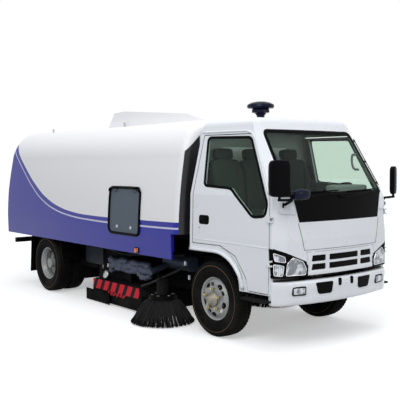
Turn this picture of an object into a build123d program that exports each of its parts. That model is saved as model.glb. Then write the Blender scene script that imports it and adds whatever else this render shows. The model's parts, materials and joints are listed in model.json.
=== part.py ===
from build123d import *
import math
import os

# Street sweeper truck: a light cab-over chassis with a sweeping body.
# Millimetres. +X is forward, +Y is the left side, +Z is up, and the ground is z = 0.
# The origin lies on the ground under the middle of the whole truck.

os.makedirs("parts", exist_ok=True)

# ---- driving dimensions of the chassis ----
wheelbase = 3360
front_overhang = 975         # front axle to the bumper's face
rear_overhang = 1170         # rear axle to the body's tail
mirror_overhang = 1078       # front axle to the foremost point, the close-view mirror
front_axle_x = (wheelbase + rear_overhang - mirror_overhang) / 2
rear_axle_x = front_axle_x - wheelbase
bumper_face_x = front_axle_x + front_overhang
tail_x = rear_axle_x - rear_overhang

tyre_radius = 372            # loaded radius, also the height of both axles
tyre_width = 196
rim_radius = 203
rim_flange_radius = 218
rim_width = 146
front_wheel_y = 708          # centre plane of a front tyre
rear_outer_y = 815
rear_inner_y = 597
hub_pilot_radius = 66
hub_stub_radius = 52
wheel_bearing_gap = 0.05

running_gap = 0.05           # radial clearance of a pin in its bore
seat_gap = 0.3               # between curved faces on different bodies
door_gap = 9                 # all round a door or lid

rail_half_spacing = 370      # chassis rail centre from the middle
rail_height = 180
rail_flange = 62
rail_wall = 7
rail_top_z = 700
rail_front_x = bumper_face_x - 190
tip_pivot_x = rear_axle_x - 900
rail_rear_x = tip_pivot_x - 10
crossmember_radius = 42

# ---- the cab ----
cab_wall = 30
cab_floor_z = 925            # underside of the floor over the engine
cab_floor = 35
footwell_z = 560
cab_roof_z = 2114
cab_sill_z = 510
arch_z = 838
glass_thickness = 6

# ---- the sweeping body ----
body_half_width = 945
body_front_x = front_axle_x - 372
body_floor_z = 715           # lower edge of the skirts
body_deck_z = 800            # underside of the floor, clear of the rear tyres
body_roof_z = 2172
body_wall = 40
hump_top_z = 2350

sides = (("left", 1), ("right", -1))

# ---- chassis frame: two channel rails, tube crossmembers, body hinge lugs ----
rail_length = rail_front_x - rail_rear_x
rail_mid_z = rail_top_z - rail_height / 2
rail_web_y = rail_half_spacing + rail_flange / 2 - rail_wall / 2
crossmember_stations = (
    rail_front_x - 60,
    front_axle_x - 1400,
    rear_axle_x + 520,
    rear_axle_x - 480,
    rail_rear_x + 90,
)
# the cab tilts forward on these arms
tilt_pivot_x = front_axle_x + 900
tilt_pivot_z = 668
tilt_pin_radius = 11
tilt_eye_radius = 18
tilt_arm_y = 362
tilt_arm_width = 24
tip_pivot_z = 620
tip_pin_radius = 20
tip_eye_radius = 40
tip_lug_width = 26
tip_lug_y = rail_half_spacing + rail_flange / 2 + seat_gap + tip_lug_width / 2
with BuildPart() as frame:
    with BuildSketch(Plane.YZ.offset(rail_rear_x)):
        for _, side in sides:
            with Locations((side * rail_half_spacing, rail_mid_z)):
                Rectangle(rail_flange, rail_height)
            with Locations((side * (rail_half_spacing - rail_wall), rail_mid_z)):
                Rectangle(rail_flange, rail_height - 2 * rail_wall, mode=Mode.SUBTRACT)
    extrude(amount=rail_length)
    for station in crossmember_stations:
        with Locations(Location((station, 0, rail_top_z - crossmember_radius - 4), (90, 0, 0))):
            Cylinder(crossmember_radius, 2 * rail_web_y)
    for _, side in sides:
        with BuildSketch(Plane.XZ.offset(-(side * tilt_arm_y + tilt_arm_width / 2))):
            with BuildLine():
                Polyline(
                    (rail_front_x - 20, rail_mid_z - 60),
                    (rail_front_x - 20, rail_mid_z + 60),
                    (tilt_pivot_x - tilt_eye_radius, tilt_pivot_z + tilt_eye_radius - 6),
                    (tilt_pivot_x, tilt_pivot_z - tilt_eye_radius),
                    (rail_front_x + 30, rail_mid_z - 60),
                    close=True,
                )
            make_face()
            with Locations((tilt_pivot_x, tilt_pivot_z)):
                Circle(tilt_eye_radius)
                Circle(tilt_pin_radius + running_gap, mode=Mode.SUBTRACT)
        extrude(amount=tilt_arm_width)
        with Locations(Location((tip_pivot_x, side * (tip_lug_y - tip_lug_width / 4), tip_pivot_z), (90, 0, 0))):
            Cylinder(tip_pin_radius, 1.5 * tip_lug_width + 16)
frame.part.label = "frame"
export_step(frame.part, "parts/frame.step")

# ---- front axle: drop beam with an eye and a kingpin at each end ----
kingpin_y = 575
kingpin_radius = 18
kingpin_eye_radius = 34
kingpin_eye_height = 120
beam_height = 70
beam_width = 64
knuckle_ear = 20
ear_gap = 0.5
kingpin_length = kingpin_eye_height + 2 * knuckle_ear + 2 * ear_gap
with BuildPart() as front_axle:
    with BuildSketch(Plane.XZ.offset(-kingpin_y)):
        with Locations((front_axle_x, tyre_radius)):
            Rectangle(beam_width, beam_height)
            Rectangle(beam_width, beam_height - 28, mode=Mode.SUBTRACT)
            Rectangle(16, beam_height)
    extrude(amount=2 * kingpin_y)
    with Locations((front_axle_x, kingpin_y, tyre_radius), (front_axle_x, -kingpin_y, tyre_radius)):
        Cylinder(kingpin_eye_radius, kingpin_eye_height)
        Cylinder(kingpin_radius, kingpin_length)
front_axle.part.label = "front_axle"
export_step(front_axle.part, "parts/front_axle.step")

# ---- steering knuckles: a fork on the kingpin that carries the stub axle ----
fork_depth = 60
fork_inner_y = kingpin_y - 32
fork_web_y = kingpin_y + 50
fork_web = 20
stub_radius = 34
stub_end_y = front_wheel_y + 92
for side_name, side in sides:
    with BuildPart() as knuckle:
        with Locations(
            (front_axle_x, side * (fork_inner_y + fork_web_y) / 2, tyre_radius + (kingpin_length - knuckle_ear) / 2),
            (front_axle_x, side * (fork_inner_y + fork_web_y) / 2, tyre_radius - (kingpin_length - knuckle_ear) / 2),
        ):
            Box(fork_depth, fork_web_y - fork_inner_y, knuckle_ear)
        with Locations((front_axle_x, side * (fork_web_y + fork_web / 2), tyre_radius)):
            Box(fork_depth, fork_web, kingpin_length)
        with Locations((front_axle_x, side * kingpin_y, tyre_radius)):
            Cylinder(kingpin_radius + running_gap, 2 * kingpin_length, mode=Mode.SUBTRACT)
        with Locations(Location((front_axle_x, side * (fork_web_y + stub_end_y) / 2, tyre_radius), (90, 0, 0))):
            Cylinder(stub_radius, stub_end_y - fork_web_y)
    knuckle.part.label = "knuckle_" + side_name
    export_step(knuckle.part, f"parts/knuckle_{side_name}.step")

# ---- rear axle: banjo housing, tubes and the two wheel spindles ----
rear_tube_radius = 52
rear_spindle_radius = 44
banjo_radius = 165
spring_seat_y = 250          # the tube is round and even outside this
spindle_end_y = rear_outer_y + 40
with BuildPart() as rear_axle:
    with BuildSketch(Plane.YZ.offset(rear_axle_x)):
        with BuildLine():
            Polyline(
                (-430, tyre_radius),
                (-430, tyre_radius + rear_tube_radius),
                (-spring_seat_y, tyre_radius + rear_tube_radius),
                (-70, tyre_radius + banjo_radius),
                (70, tyre_radius + banjo_radius),
                (spring_seat_y, tyre_radius + rear_tube_radius),
                (430, tyre_radius + rear_tube_radius),
                (430, tyre_radius),
                close=True,
            )
        make_face()
    revolve(axis=Axis((rear_axle_x, 0, tyre_radius), (0, 1, 0)))
    with Locations(Location((rear_axle_x, 0, tyre_radius), (90, 0, 0))):
        Cylinder(rear_spindle_radius, 2 * spindle_end_y)
rear_axle.part.label = "rear_axle"
export_step(rear_axle.part, "parts/rear_axle.step")

# ---- leaf springs: one arched pack under each rail at each axle ----
# columns: axle station, half length, pack thickness, height of the pack's underside at the axle, side position
pack_table = (
    (front_axle_x, 560, 44, tyre_radius + beam_height / 2, rail_half_spacing),
    (rear_axle_x, 600, 62, tyre_radius + rear_tube_radius + seat_gap, rail_half_spacing),
)
spring_width = 62
with BuildPart() as springs:
    for station, half, thick, seat_z, pack_y in pack_table:
        eye_z = rail_top_z - rail_height
        for _, side in sides:
            with BuildSketch(Plane.XZ.offset(-(side * pack_y + spring_width / 2))):
                with BuildLine():
                    ThreePointArc((station - half, eye_z - 22), (station, seat_z), (station + half, eye_z - 22))
                    Line((station + half, eye_z - 22), (station + half, eye_z))
                    ThreePointArc((station + half, eye_z), (station, seat_z + thick), (station - half, eye_z))
                    Line((station - half, eye_z), (station - half, eye_z - 22))
                make_face()
            extrude(amount=spring_width)
springs.part.label = "springs"
export_step(springs.part, "parts/springs.step")

# ---- wheels: pressed steel discs with hand holes, wheel nuts and a hub, and their tyres ----
# Each half section runs out from the wheel's middle: (distance outboard of the rim's middle, radius).
rim_section = (
    (-rim_width / 2, rim_flange_radius),
    (-rim_width / 2, rim_flange_radius - 12),
    (-rim_width / 2 + 8, rim_radius - 8),
    (-22, rim_radius - 30),
    (22, rim_radius - 30),
    (rim_width / 2 - 8, rim_radius - 8),
    (rim_width / 2, rim_flange_radius - 12),
    (rim_width / 2, rim_flange_radius),
    (rim_width / 2 - 6, rim_flange_radius),
    (rim_width / 2 - 10, rim_radius),
    (22, rim_radius - 20),
    (-22, rim_radius - 20),
    (-rim_width / 2 + 10, rim_radius),
    (-rim_width / 2 + 6, rim_flange_radius),
)
disc_thickness = 9
hand_hole_count = 5
hand_hole_circle = 144
hand_hole_size = (54, 36)
nut_count = 5
nut_circle = 102
nut_radius = 15
nut_height = 24

hub_radius = 62
bead_foot_y = rim_width / 2 - 10 - seat_gap
bead_heel_y = rim_width / 2 - 6 - 1.5 * seat_gap
bead_foot_z = tyre_radius + rim_radius + seat_gap
bead_heel_z = tyre_radius + rim_flange_radius + 2
shoulder_y = tyre_width / 2 - 20
shoulder_z = 2 * tyre_radius - 14
crown_y = tyre_width / 2 - 34
hub_cap = 14
front_disc = (80, 84, 52)              # outboard offset of the disc at the hub, at the hand holes and at the rim
dual_disc = (-109, -92, -56)           # the two rear discs meet back to back
disc_hub_radius = 120
disc_ring_radius = 152
disc_rim_radius = rim_radius - 12

# columns: wheel, axle station, side, (middle plane, disc offsets) of each rim, bearing radius, hub's inner end,
# hub's outer end, outboard face of the disc that the nuts clamp
wheel_table = []
for side_name, side in sides:
    wheel_table.append((
        "front_" + side_name, front_axle_x, side, ((front_wheel_y, front_disc),),
        stub_radius, fork_web_y + fork_web + ear_gap, stub_end_y, front_wheel_y + front_disc[0],
    ))
    wheel_table.append((
        "rear_" + side_name, rear_axle_x, side,
        ((rear_outer_y, dual_disc), (rear_inner_y, tuple(-offset for offset in dual_disc))),
        rear_spindle_radius, 470, spindle_end_y, rear_outer_y + dual_disc[0] + disc_thickness,
    ))

for wheel_name, station, side, rims, bearing_radius, hub_in, hub_out, nut_face in wheel_table:
    wheel_axis = Axis((station, 0, tyre_radius), (0, 1, 0))
    with BuildPart() as rim:
        for middle, disc in rims:
            outward = 1 if disc[0] > 0 or middle == rear_inner_y else -1
            with BuildSketch(Plane.YZ.offset(station)):
                with BuildLine():
                    Polyline(
                        *[(side * (middle + across), tyre_radius + radius) for across, radius in rim_section],
                        close=True,
                    )
                make_face()
                disc_line = tuple(zip((hub_radius - 4, disc_hub_radius, disc_ring_radius, disc_rim_radius),
                                      (disc[0], disc[0], disc[1], disc[2])))
                with BuildLine():
                    Polyline(
                        *[(side * (middle + offset), tyre_radius + radius) for radius, offset in disc_line],
                        *[(side * (middle + offset - outward * disc_thickness), tyre_radius + radius)
                          for radius, offset in reversed(disc_line)],
                        close=True,
                    )
                make_face()
            revolve(axis=wheel_axis)
        with BuildSketch(Plane.XZ):
            with Locations((station, tyre_radius)):
                with PolarLocations(hand_hole_circle, hand_hole_count, start_angle=99 if side < 0 else 81):
                    SlotOverall(hand_hole_size[0], hand_hole_size[1], rotation=90)
        extrude(amount=-side * 1000, mode=Mode.SUBTRACT)
        with BuildSketch(Plane.XZ.offset(-side * hub_in)):
            with Locations((station, tyre_radius)):
                Circle(hub_radius)
        extrude(amount=-side * (hub_out + hub_cap - hub_in))
        with BuildSketch(Plane.XZ.offset(-side * nut_face)):
            with Locations((station, tyre_radius)):
                with PolarLocations(nut_circle, nut_count, start_angle=90):
                    RegularPolygon(nut_radius, 6)
        extrude(amount=-side * nut_height)
        with BuildSketch(Plane.XZ.offset(-side * (hub_in - 1))):
            with Locations((station, tyre_radius)):
                Circle(bearing_radius + wheel_bearing_gap)
        extrude(amount=-side * (hub_out + 1.5 - hub_in), mode=Mode.SUBTRACT)
    rim.part.label = "rim_" + wheel_name
    export_step(rim.part, f"parts/rim_{wheel_name}.step")

    with BuildPart() as tyre:
        for middle, _ in rims:
            with BuildSketch(Plane.YZ.offset(station)):
                with BuildLine():
                    for flank in (-1, 1):
                        foot = (middle + flank * bead_foot_y) * side
                        heel = (middle + flank * bead_heel_y) * side
                        shoulder = (middle + flank * shoulder_y) * side
                        bulge = (middle + flank * tyre_width / 2) * side
                        crown = (middle + flank * crown_y) * side
                        Line((side * middle, bead_foot_z), (foot, bead_foot_z))
                        Line((foot, bead_foot_z), (heel, bead_heel_z))
                        ThreePointArc((heel, bead_heel_z), (bulge, bead_heel_z + 68), (shoulder, shoulder_z))
                        Line((shoulder, shoulder_z), (crown, 2 * tyre_radius))
                        Line((crown, 2 * tyre_radius), (side * middle, 2 * tyre_radius))
                make_face()
            revolve(axis=wheel_axis)
    tyre.part.label = "tyre_" + wheel_name
    export_step(tyre.part, f"parts/tyre_{wheel_name}.step")

# ---- engine and driveline: a plain block for the engine, the gearbox and the propeller shaft ----
engine_length = 780
engine_width = 540
engine_top_z = 915
engine_low_z = 440
engine_mid_x = front_axle_x - 250
gearbox_front_x = engine_mid_x - engine_length / 2
gearbox_length = 500
gearbox_rear_z = 555
propshaft_radius = 38
engine_mount_size = (90, rail_half_spacing + rail_flange / 2 - rail_wall - seat_gap, 70)
with BuildPart() as engine:
    with Locations((engine_mid_x, 0, (engine_top_z + engine_low_z) / 2)):
        Box(engine_length, engine_width, engine_top_z - engine_low_z)
    with Locations((engine_mid_x, 0, rail_mid_z)):
        Box(engine_mount_size[0], 2 * engine_mount_size[1], engine_mount_size[2])
    with BuildSketch(Plane.YZ.offset(gearbox_front_x)):
        with Locations((0, 650)):
            Circle(180)
    with BuildSketch(Plane.YZ.offset(gearbox_front_x - gearbox_length)):
        with Locations((0, gearbox_rear_z)):
            Circle(90)
    loft()
    shaft_start = Vector(gearbox_front_x - gearbox_length + 10, 0, gearbox_rear_z)
    shaft_end = Vector(rear_axle_x + banjo_radius + seat_gap + 8, 0, tyre_radius + 10)
    with BuildSketch(Plane(shaft_start, z_dir=shaft_end - shaft_start)):
        Circle(propshaft_radius)
    extrude(amount=(shaft_end - shaft_start).length)
engine.part.label = "engine"
export_step(engine.part, "parts/engine.step")

# ---- bumper: a curved moulding with lamp pockets, air inlets and towing holes ----
bumper_low_z = 415
bumper_high_z = 632
bumper_wall = 60
bumper_end = (front_axle_x + 797, 796)
bumper_shoulder = (front_axle_x + 872, 716)
bumper_quarter = (front_axle_x + 905, 600)
lamp_pocket = (560, 545, 118, 62)      # side position, height, width, depth of its face
inlet_pocket = (250, 552, 150, 74)
tow_hole = (85, 590, 36, 50)
with BuildPart() as bumper:
    for inset, mode in ((0, Mode.ADD), (bumper_wall, Mode.SUBTRACT)):
        with BuildSketch(Plane.XY.offset(bumper_low_z)):
            with BuildLine():
                ThreePointArc(
                    (bumper_quarter[0] - inset, -bumper_quarter[1]),
                    (bumper_face_x - inset, 0),
                    (bumper_quarter[0] - inset, bumper_quarter[1]),
                )
                for _, side in sides:
                    ThreePointArc(
                        (bumper_quarter[0] - inset, side * bumper_quarter[1]),
                        (bumper_shoulder[0] - inset, side * (bumper_shoulder[1] - inset / 3)),
                        (bumper_end[0] - inset, side * (bumper_end[1] - inset / 3)),
                    )
                Line(
                    (bumper_end[0] - inset, bumper_end[1] - inset / 3),
                    (bumper_end[0] - inset, -bumper_end[1] + inset / 3),
                )
            make_face()
        extrude(amount=bumper_high_z - bumper_low_z, mode=mode)
    with BuildSketch(Plane.YZ.offset(bumper_end[0])):
        for _, side in sides:
            with Locations((side * inlet_pocket[0], inlet_pocket[1])):
                Trapezoid(inlet_pocket[2], inlet_pocket[3], 80, rotation=180)
            with Locations((side * tow_hole[0], tow_hole[1])):
                Ellipse(tow_hole[2] / 2, tow_hole[3] / 2)
    extrude(amount=400, mode=Mode.SUBTRACT)
    with BuildSketch(Plane.YZ.offset(bumper_quarter[0] - 22)):
        for _, side in sides:
            with Locations((side * lamp_pocket[0], lamp_pocket[1])):
                RectangleRounded(lamp_pocket[2], lamp_pocket[3], 8)
    extrude(amount=400, mode=Mode.SUBTRACT)
    # two stays carry the moulding from the ends of the frame rails
    stay_y = rail_half_spacing + rail_flange / 2 - rail_wall - seat_gap
    for _, side in sides:
        with Locations(((rail_front_x + bumper_quarter[0]) / 2 - 5, side * (stay_y - 8), rail_mid_z - 20)):
            Box(bumper_quarter[0] - rail_front_x + 20, 16, 80)
bumper.part.label = "bumper"
export_step(bumper.part, "parts/bumper.step")

# ---- cab: one lofted form, hollow, with its doors and windows cut from the same walls ----
# Columns: height, rear wall, half width at the rear, (station, half width) of the front corner and of the
# quarter point where the face starts, then the nose at the middle. Stations are ahead of the front axle.
cab_sections = (
    (cab_sill_z, -300, 850, (806, 800), (868, 716), 945),
    (1000, -300, 850, (806, 800), (888, 690), 955),
    (1385, -296, 842, (786, 776), (876, 640), 925),
    (1985, -254, 724, (452, 676), (492, 606), 524),
    (cab_roof_z, -244, 696, (398, 650), (430, 590), 458),
)
nose_low_z = 690             # the face ends here; below it the cab steps back behind the bumper
nose_step_x = front_axle_x + 788
roof_edge_radius = 92
glass_inset = 12


def cab_form(inset, low_z, high_z):
    """The cab's outer form moved inwards by inset, between two heights."""
    with BuildPart() as form:
        for height, rear, half, corner, quarter, nose in cab_sections:
            with BuildSketch(Plane.XY.offset(height)):
                with BuildLine():
                    rear_x = front_axle_x + rear + inset
                    corner_x = front_axle_x + corner[0] - inset * 0.3
                    quarter_x = front_axle_x + quarter[0] - inset
                    nose_x = front_axle_x + nose - inset
                    for _, side in sides:
                        Line((rear_x, 0), (rear_x, side * (half - inset)))
                        Line((rear_x, side * (half - inset)), (corner_x, side * (corner[1] - inset)))
                        Line((corner_x, side * (corner[1] - inset)), (quarter_x, side * (quarter[1] - inset * 0.5)))
                    ThreePointArc(
                        (quarter_x, -quarter[1] + inset * 0.5), (nose_x, 0), (quarter_x, quarter[1] - inset * 0.5)
                    )
                make_face()
        loft(ruled=True)
        with BuildSketch(Plane.XY.offset(low_z)):
            Rectangle(4 * wheelbase, 4 * body_half_width)
        extrude(amount=high_z - low_z, mode=Mode.INTERSECT)
        if high_z == cab_roof_z - inset:
            fillet(form.edges().group_by(Axis.Z)[-1], roof_edge_radius - inset)
        with BuildSketch(Plane.XY.offset(low_z)):
            with Locations((nose_step_x - inset + 500, 0)):
                Rectangle(1000, 4 * body_half_width)
        if low_z < nose_low_z + inset:
            extrude(amount=nose_low_z + inset - low_z, mode=Mode.SUBTRACT)
    return form.part


cab_outer = cab_form(0, cab_sill_z, cab_roof_z)
cab_inner = cab_form(cab_wall, footwell_z, cab_roof_z - cab_wall)
cab_floor_block = cab_form(cab_wall, footwell_z, cab_floor_z + cab_floor)

# Outlines seen from the side, as (station ahead of the front axle, height).
arch_edge = ((150, arch_z), (294, 768), (412, cab_sill_z - 20))
flare_edge = ((150, 886), (333, 796), (462, cab_sill_z))
flare_proud = 10
door_edge = (
    (772, cab_sill_z + 6), (786, 1000), (764, 1385), (444, 1962), (-216, 1966), (-262, 1400), (-266, 900),
    (140, 900), (345, 820), (476, 640), (512, cab_sill_z + 6),
)
window_edge = ((-112, 1471), (262, 1451), (560, 1196), (716, 1212), (738, 1330), (430, 1925), (-150, 1938))
# Outlines seen from the front, as (half width, height).
windscreen_edge = ((640, 1402), (596, 1984))
rear_window_edge = ((520, 1500), (470, 1850))
lamp_edge = ((860, 962), (470, 802), (448, nose_low_z + 14), (860, nose_low_z + 14))
# columns: middle of the slot from the centre line, its width
grille_slots = ((-300, 110), (0, 280), (300, 110))
grille_slot_heights = (826, 748)
grille_slot_height = 48


def side_prism(outline, trim, side, reach):
    """A prism through one side wall, with the side outline moved inwards by trim."""
    with BuildPart() as prism:
        with BuildSketch(Plane.XZ.offset(-side * reach[0])):
            with BuildLine():
                Polyline(*[(front_axle_x + along, height) for along, height in outline], close=True)
            make_face()
            if trim:
                offset(amount=-trim, kind=Kind.INTERSECTION, mode=Mode.REPLACE)
        extrude(amount=-side * (reach[1] - reach[0]))
    return prism.part


def front_prism(outline, trim, start_x, end_x):
    """A prism along X with an outline that is mirrored about the middle, moved inwards by trim."""
    points = [(half, height) for half, height in outline]
    with BuildPart() as prism:
        with BuildSketch(Plane.YZ.offset(start_x)):
            with BuildLine():
                Polyline(*points, *[(-half, height) for half, height in reversed(points)], close=True)
            make_face()
            if trim:
                offset(amount=-trim, kind=Kind.INTERSECTION, mode=Mode.REPLACE)
        extrude(amount=end_x - start_x)
    return prism.part


door_reach = (560, 1000)
door_inner_y = 775           # inner face of the doors' lower part
tunnel_half_width = 428
tunnel_z = 738
tunnel_rear_x = front_axle_x + 260
screen_reach = (front_axle_x + 330, front_axle_x + 1100)
rear_reach = (front_axle_x - 400, front_axle_x - 150)
lamp_reach = (front_axle_x + 811, front_axle_x + 1100)
panel_reach = (front_axle_x + 700, front_axle_x + 1100)
panel_gap = 3
grille_edge = ((478, 888), (440, nose_low_z + 16))
garnish_edge = ((612, 1392), (552, 1156))
hinge_x = front_axle_x + 783
hinge_y = 814
hinge_pin_radius = 6
hinge_barrel_radius = 12
hinge_heights = (800, 1190)
hinge_length = 56
cab_wall_form = cab_outer - cab_inner
# the walls alone, down to the sill and without the front wall beside the bumper: the doors are cut from them
cab_skin = cab_outer - cab_form(cab_wall, cab_sill_z, cab_roof_z - cab_wall)
cab_skin -= Pos(front_axle_x, 0, 750) * Box(2 * wheelbase, 2 * door_inner_y, 500)

flare_form = cab_form(-flare_proud, cab_sill_z, 1000) - cab_form(cab_wall, footwell_z, 1000)
with BuildPart() as flare:
    with BuildSketch(Plane.XZ.offset(-2 * body_half_width)):
        with BuildLine():
            flare_points = [(front_axle_x + along, height) for along, height in flare_edge]
            arch_points = [(front_axle_x + along, height) for along, height in arch_edge]
            Line((front_axle_x - 290, flare_points[0][1]), flare_points[0])
            ThreePointArc(*flare_points)
            Line(flare_points[2], arch_points[2])
            ThreePointArc(*arch_points)
            Line(arch_points[0], (front_axle_x - 290, arch_z))
            Line((front_axle_x - 290, arch_z), (front_axle_x - 290, flare_points[0][1]))
        make_face()
    extrude(amount=4 * body_half_width)
    add(flare_form, mode=Mode.INTERSECT)
    Box(4 * wheelbase, 1640, 4 * wheelbase, mode=Mode.SUBTRACT)
flare_band = flare.part

with BuildPart() as cab_shell:
    add(cab_wall_form)
    with BuildPart(mode=Mode.PRIVATE) as rear_floor:
        add(cab_floor_block)
        with Locations((front_axle_x + 436 - wheelbase / 2, 0, cab_floor_z)):
            Box(wheelbase, 2 * cab_roof_z, 2 * cab_roof_z, mode=Mode.INTERSECT)
    add(rear_floor.part)
    # the floor between the footwells is raised over the frame rails
    with Locations((front_axle_x + 600, 0, (footwell_z + tunnel_z + cab_wall) / 2)):
        Box(2 * (nose_step_x - 30 - front_axle_x - 600), 2 * (tunnel_half_width + cab_wall), tunnel_z + cab_wall - footwell_z)
    with Locations(((tunnel_rear_x + nose_step_x) / 2 + 5, 0, tunnel_z / 2)):
        Box(nose_step_x - tunnel_rear_x + 5, 2 * tunnel_half_width, tunnel_z, mode=Mode.SUBTRACT)
    with BuildSketch(Plane.XZ.offset(-body_half_width)):
        with BuildLine():
            arch_points = [(front_axle_x + along, height) for along, height in arch_edge]
            Line((front_axle_x - 500, arch_z), arch_points[0])
            ThreePointArc(*arch_points)
            Line(arch_points[2], (front_axle_x - 500, arch_points[2][1]))
            Line((front_axle_x - 500, arch_points[2][1]), (front_axle_x - 500, arch_z))
        make_face()
    extrude(amount=2 * body_half_width, mode=Mode.SUBTRACT)
    add(flare_band)
    with Locations((front_axle_x - 40, 0, arch_z)):
        Box(900, 1300, 2 * (cab_floor_z - arch_z), mode=Mode.SUBTRACT)
    for _, side in sides:
        add(cab_skin & side_prism(door_edge, 0, side, door_reach), mode=Mode.SUBTRACT)
        for height in hinge_heights:
            with Locations((hinge_x + 14, side * (hinge_y - 14), height)):
                Box(28, 44, hinge_length)
            with Locations((hinge_x, side * hinge_y, height)):
                Cylinder(hinge_barrel_radius, hinge_length)
                Box(200, 60, hinge_length / 2, mode=Mode.SUBTRACT)
                Cylinder(hinge_pin_radius, hinge_length)
        with Locations((tilt_pivot_x, side * (tilt_arm_y - tilt_arm_width / 2 - 14), (tilt_pivot_z + nose_low_z + 10) / 2)):
            Box(2 * tilt_pin_radius, 20, nose_low_z + 10 - tilt_pivot_z)
        with Locations(Location((tilt_pivot_x, side * tilt_arm_y, tilt_pivot_z), (90, 0, 0))):
            Cylinder(tilt_pin_radius, tilt_arm_width + 48)
    add(front_prism(windscreen_edge, 0, *screen_reach), mode=Mode.SUBTRACT)
    add(front_prism(rear_window_edge, 0, *rear_reach), mode=Mode.SUBTRACT)
    add(front_prism(grille_edge, 0, *panel_reach), mode=Mode.SUBTRACT)
    add(front_prism(garnish_edge, 0, *panel_reach), mode=Mode.SUBTRACT)
    for _, side in sides:
        with BuildSketch(Plane.YZ.offset(lamp_reach[0])):
            with BuildLine():
                Polyline(*[(side * half, height) for half, height in lamp_edge], close=True)
            make_face()
        extrude(amount=lamp_reach[1] - lamp_reach[0], mode=Mode.SUBTRACT)
cab_shell.part.label = "cab_shell"
export_step(cab_shell.part, "parts/cab_shell.step")

# ---- panels set in the cab's face: the grille with its slots and the garnish under the windscreen ----
with BuildPart() as grille_panel:
    add(cab_wall_form)
    add(front_prism(grille_edge, panel_gap, *panel_reach), mode=Mode.INTERSECT)
    with BuildSketch(Plane.YZ.offset(panel_reach[0])):
        for middle, width in grille_slots:
            for height in grille_slot_heights:
                with Locations((middle, height)):
                    Rectangle(width, grille_slot_height)
    extrude(amount=panel_reach[1] - panel_reach[0], mode=Mode.SUBTRACT)
    # two upright strips that bear on the opening's edges
    for _, side in sides:
        with BuildPart(mode=Mode.PRIVATE) as grille_strip:
            add(cab_wall_form)
            add(front_prism(grille_edge, 0, *panel_reach), mode=Mode.INTERSECT)
            with Locations((front_axle_x + 900, side * 400, 800)):
                Box(600, 36, 600, mode=Mode.INTERSECT)
        add(grille_strip.part)
grille_panel.part.label = "grille_panel"
export_step(grille_panel.part, "parts/grille_panel.step")

with BuildPart() as garnish:
    add(cab_wall_form)
    add(front_prism(garnish_edge, seat_gap, *panel_reach), mode=Mode.INTERSECT)
garnish.part.label = "garnish"
export_step(garnish.part, "parts/garnish.step")

# ---- headlamps: deep units that follow the cab's corner ----
lamp_inset = 4
lamp_depth = 60
lamp_block = cab_form(lamp_inset, cab_sill_z, cab_roof_z - lamp_inset) - cab_form(lamp_depth, footwell_z, cab_roof_z - lamp_depth)
with BuildPart() as headlamps:
    for _, side in sides:
        with BuildSketch(Plane.YZ.offset(lamp_reach[0] + seat_gap)):
            with BuildLine():
                Polyline(*[(side * half, height) for half, height in lamp_edge], close=True)
            make_face()
            offset(amount=-seat_gap, kind=Kind.INTERSECTION, mode=Mode.REPLACE)
        extrude(amount=lamp_reach[1] - lamp_reach[0])
    add(lamp_block, mode=Mode.INTERSECT)
headlamps.part.label = "headlamps"
export_step(headlamps.part, "parts/headlamps.step")

# ---- glass: fixed screens, and a pane in each door ----
glass_layer = cab_form(glass_inset, cab_sill_z, cab_roof_z - glass_inset) - cab_form(
    glass_inset + glass_thickness, footwell_z, cab_roof_z - glass_inset - glass_thickness
)
with BuildPart() as cab_glass:
    add(front_prism(windscreen_edge, seat_gap, *screen_reach))
    add(front_prism(rear_window_edge, seat_gap, *rear_reach))
    add(glass_layer, mode=Mode.INTERSECT)
cab_glass.part.label = "cab_glass"
export_step(cab_glass.part, "parts/cab_glass.step")

for side_name, side in sides:
    with BuildPart() as door:
        add(cab_skin)
        add(side_prism(door_edge, door_gap, side, door_reach), mode=Mode.INTERSECT)
        add(side_prism(window_edge, 0, side, door_reach), mode=Mode.SUBTRACT)
        for height in hinge_heights:
            with Locations((hinge_x - 14, side * (hinge_y - 8), height)):
                Box(28, 40, hinge_length / 2 - 1)
            with Locations((hinge_x, side * hinge_y, height)):
                Cylinder(hinge_barrel_radius, hinge_length / 2 - 1)
                Cylinder(hinge_pin_radius + running_gap, hinge_length, mode=Mode.SUBTRACT)
    door.part.label = "door_" + side_name
    export_step(door.part, f"parts/door_{side_name}.step")
    with BuildPart() as pane:
        add(glass_layer)
        add(side_prism(window_edge, seat_gap, side, door_reach), mode=Mode.INTERSECT)
    pane.part.label = "door_glass_" + side_name
    export_step(pane.part, f"parts/door_glass_{side_name}.step")


def rod(start, end, radius):
    """A round bar between two points."""
    path = Vector(end) - Vector(start)
    with BuildPart() as bar:
        with BuildSketch(Plane(start, z_dir=path)):
            Circle(radius)
        extrude(amount=path.length)
    return bar.part


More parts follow.
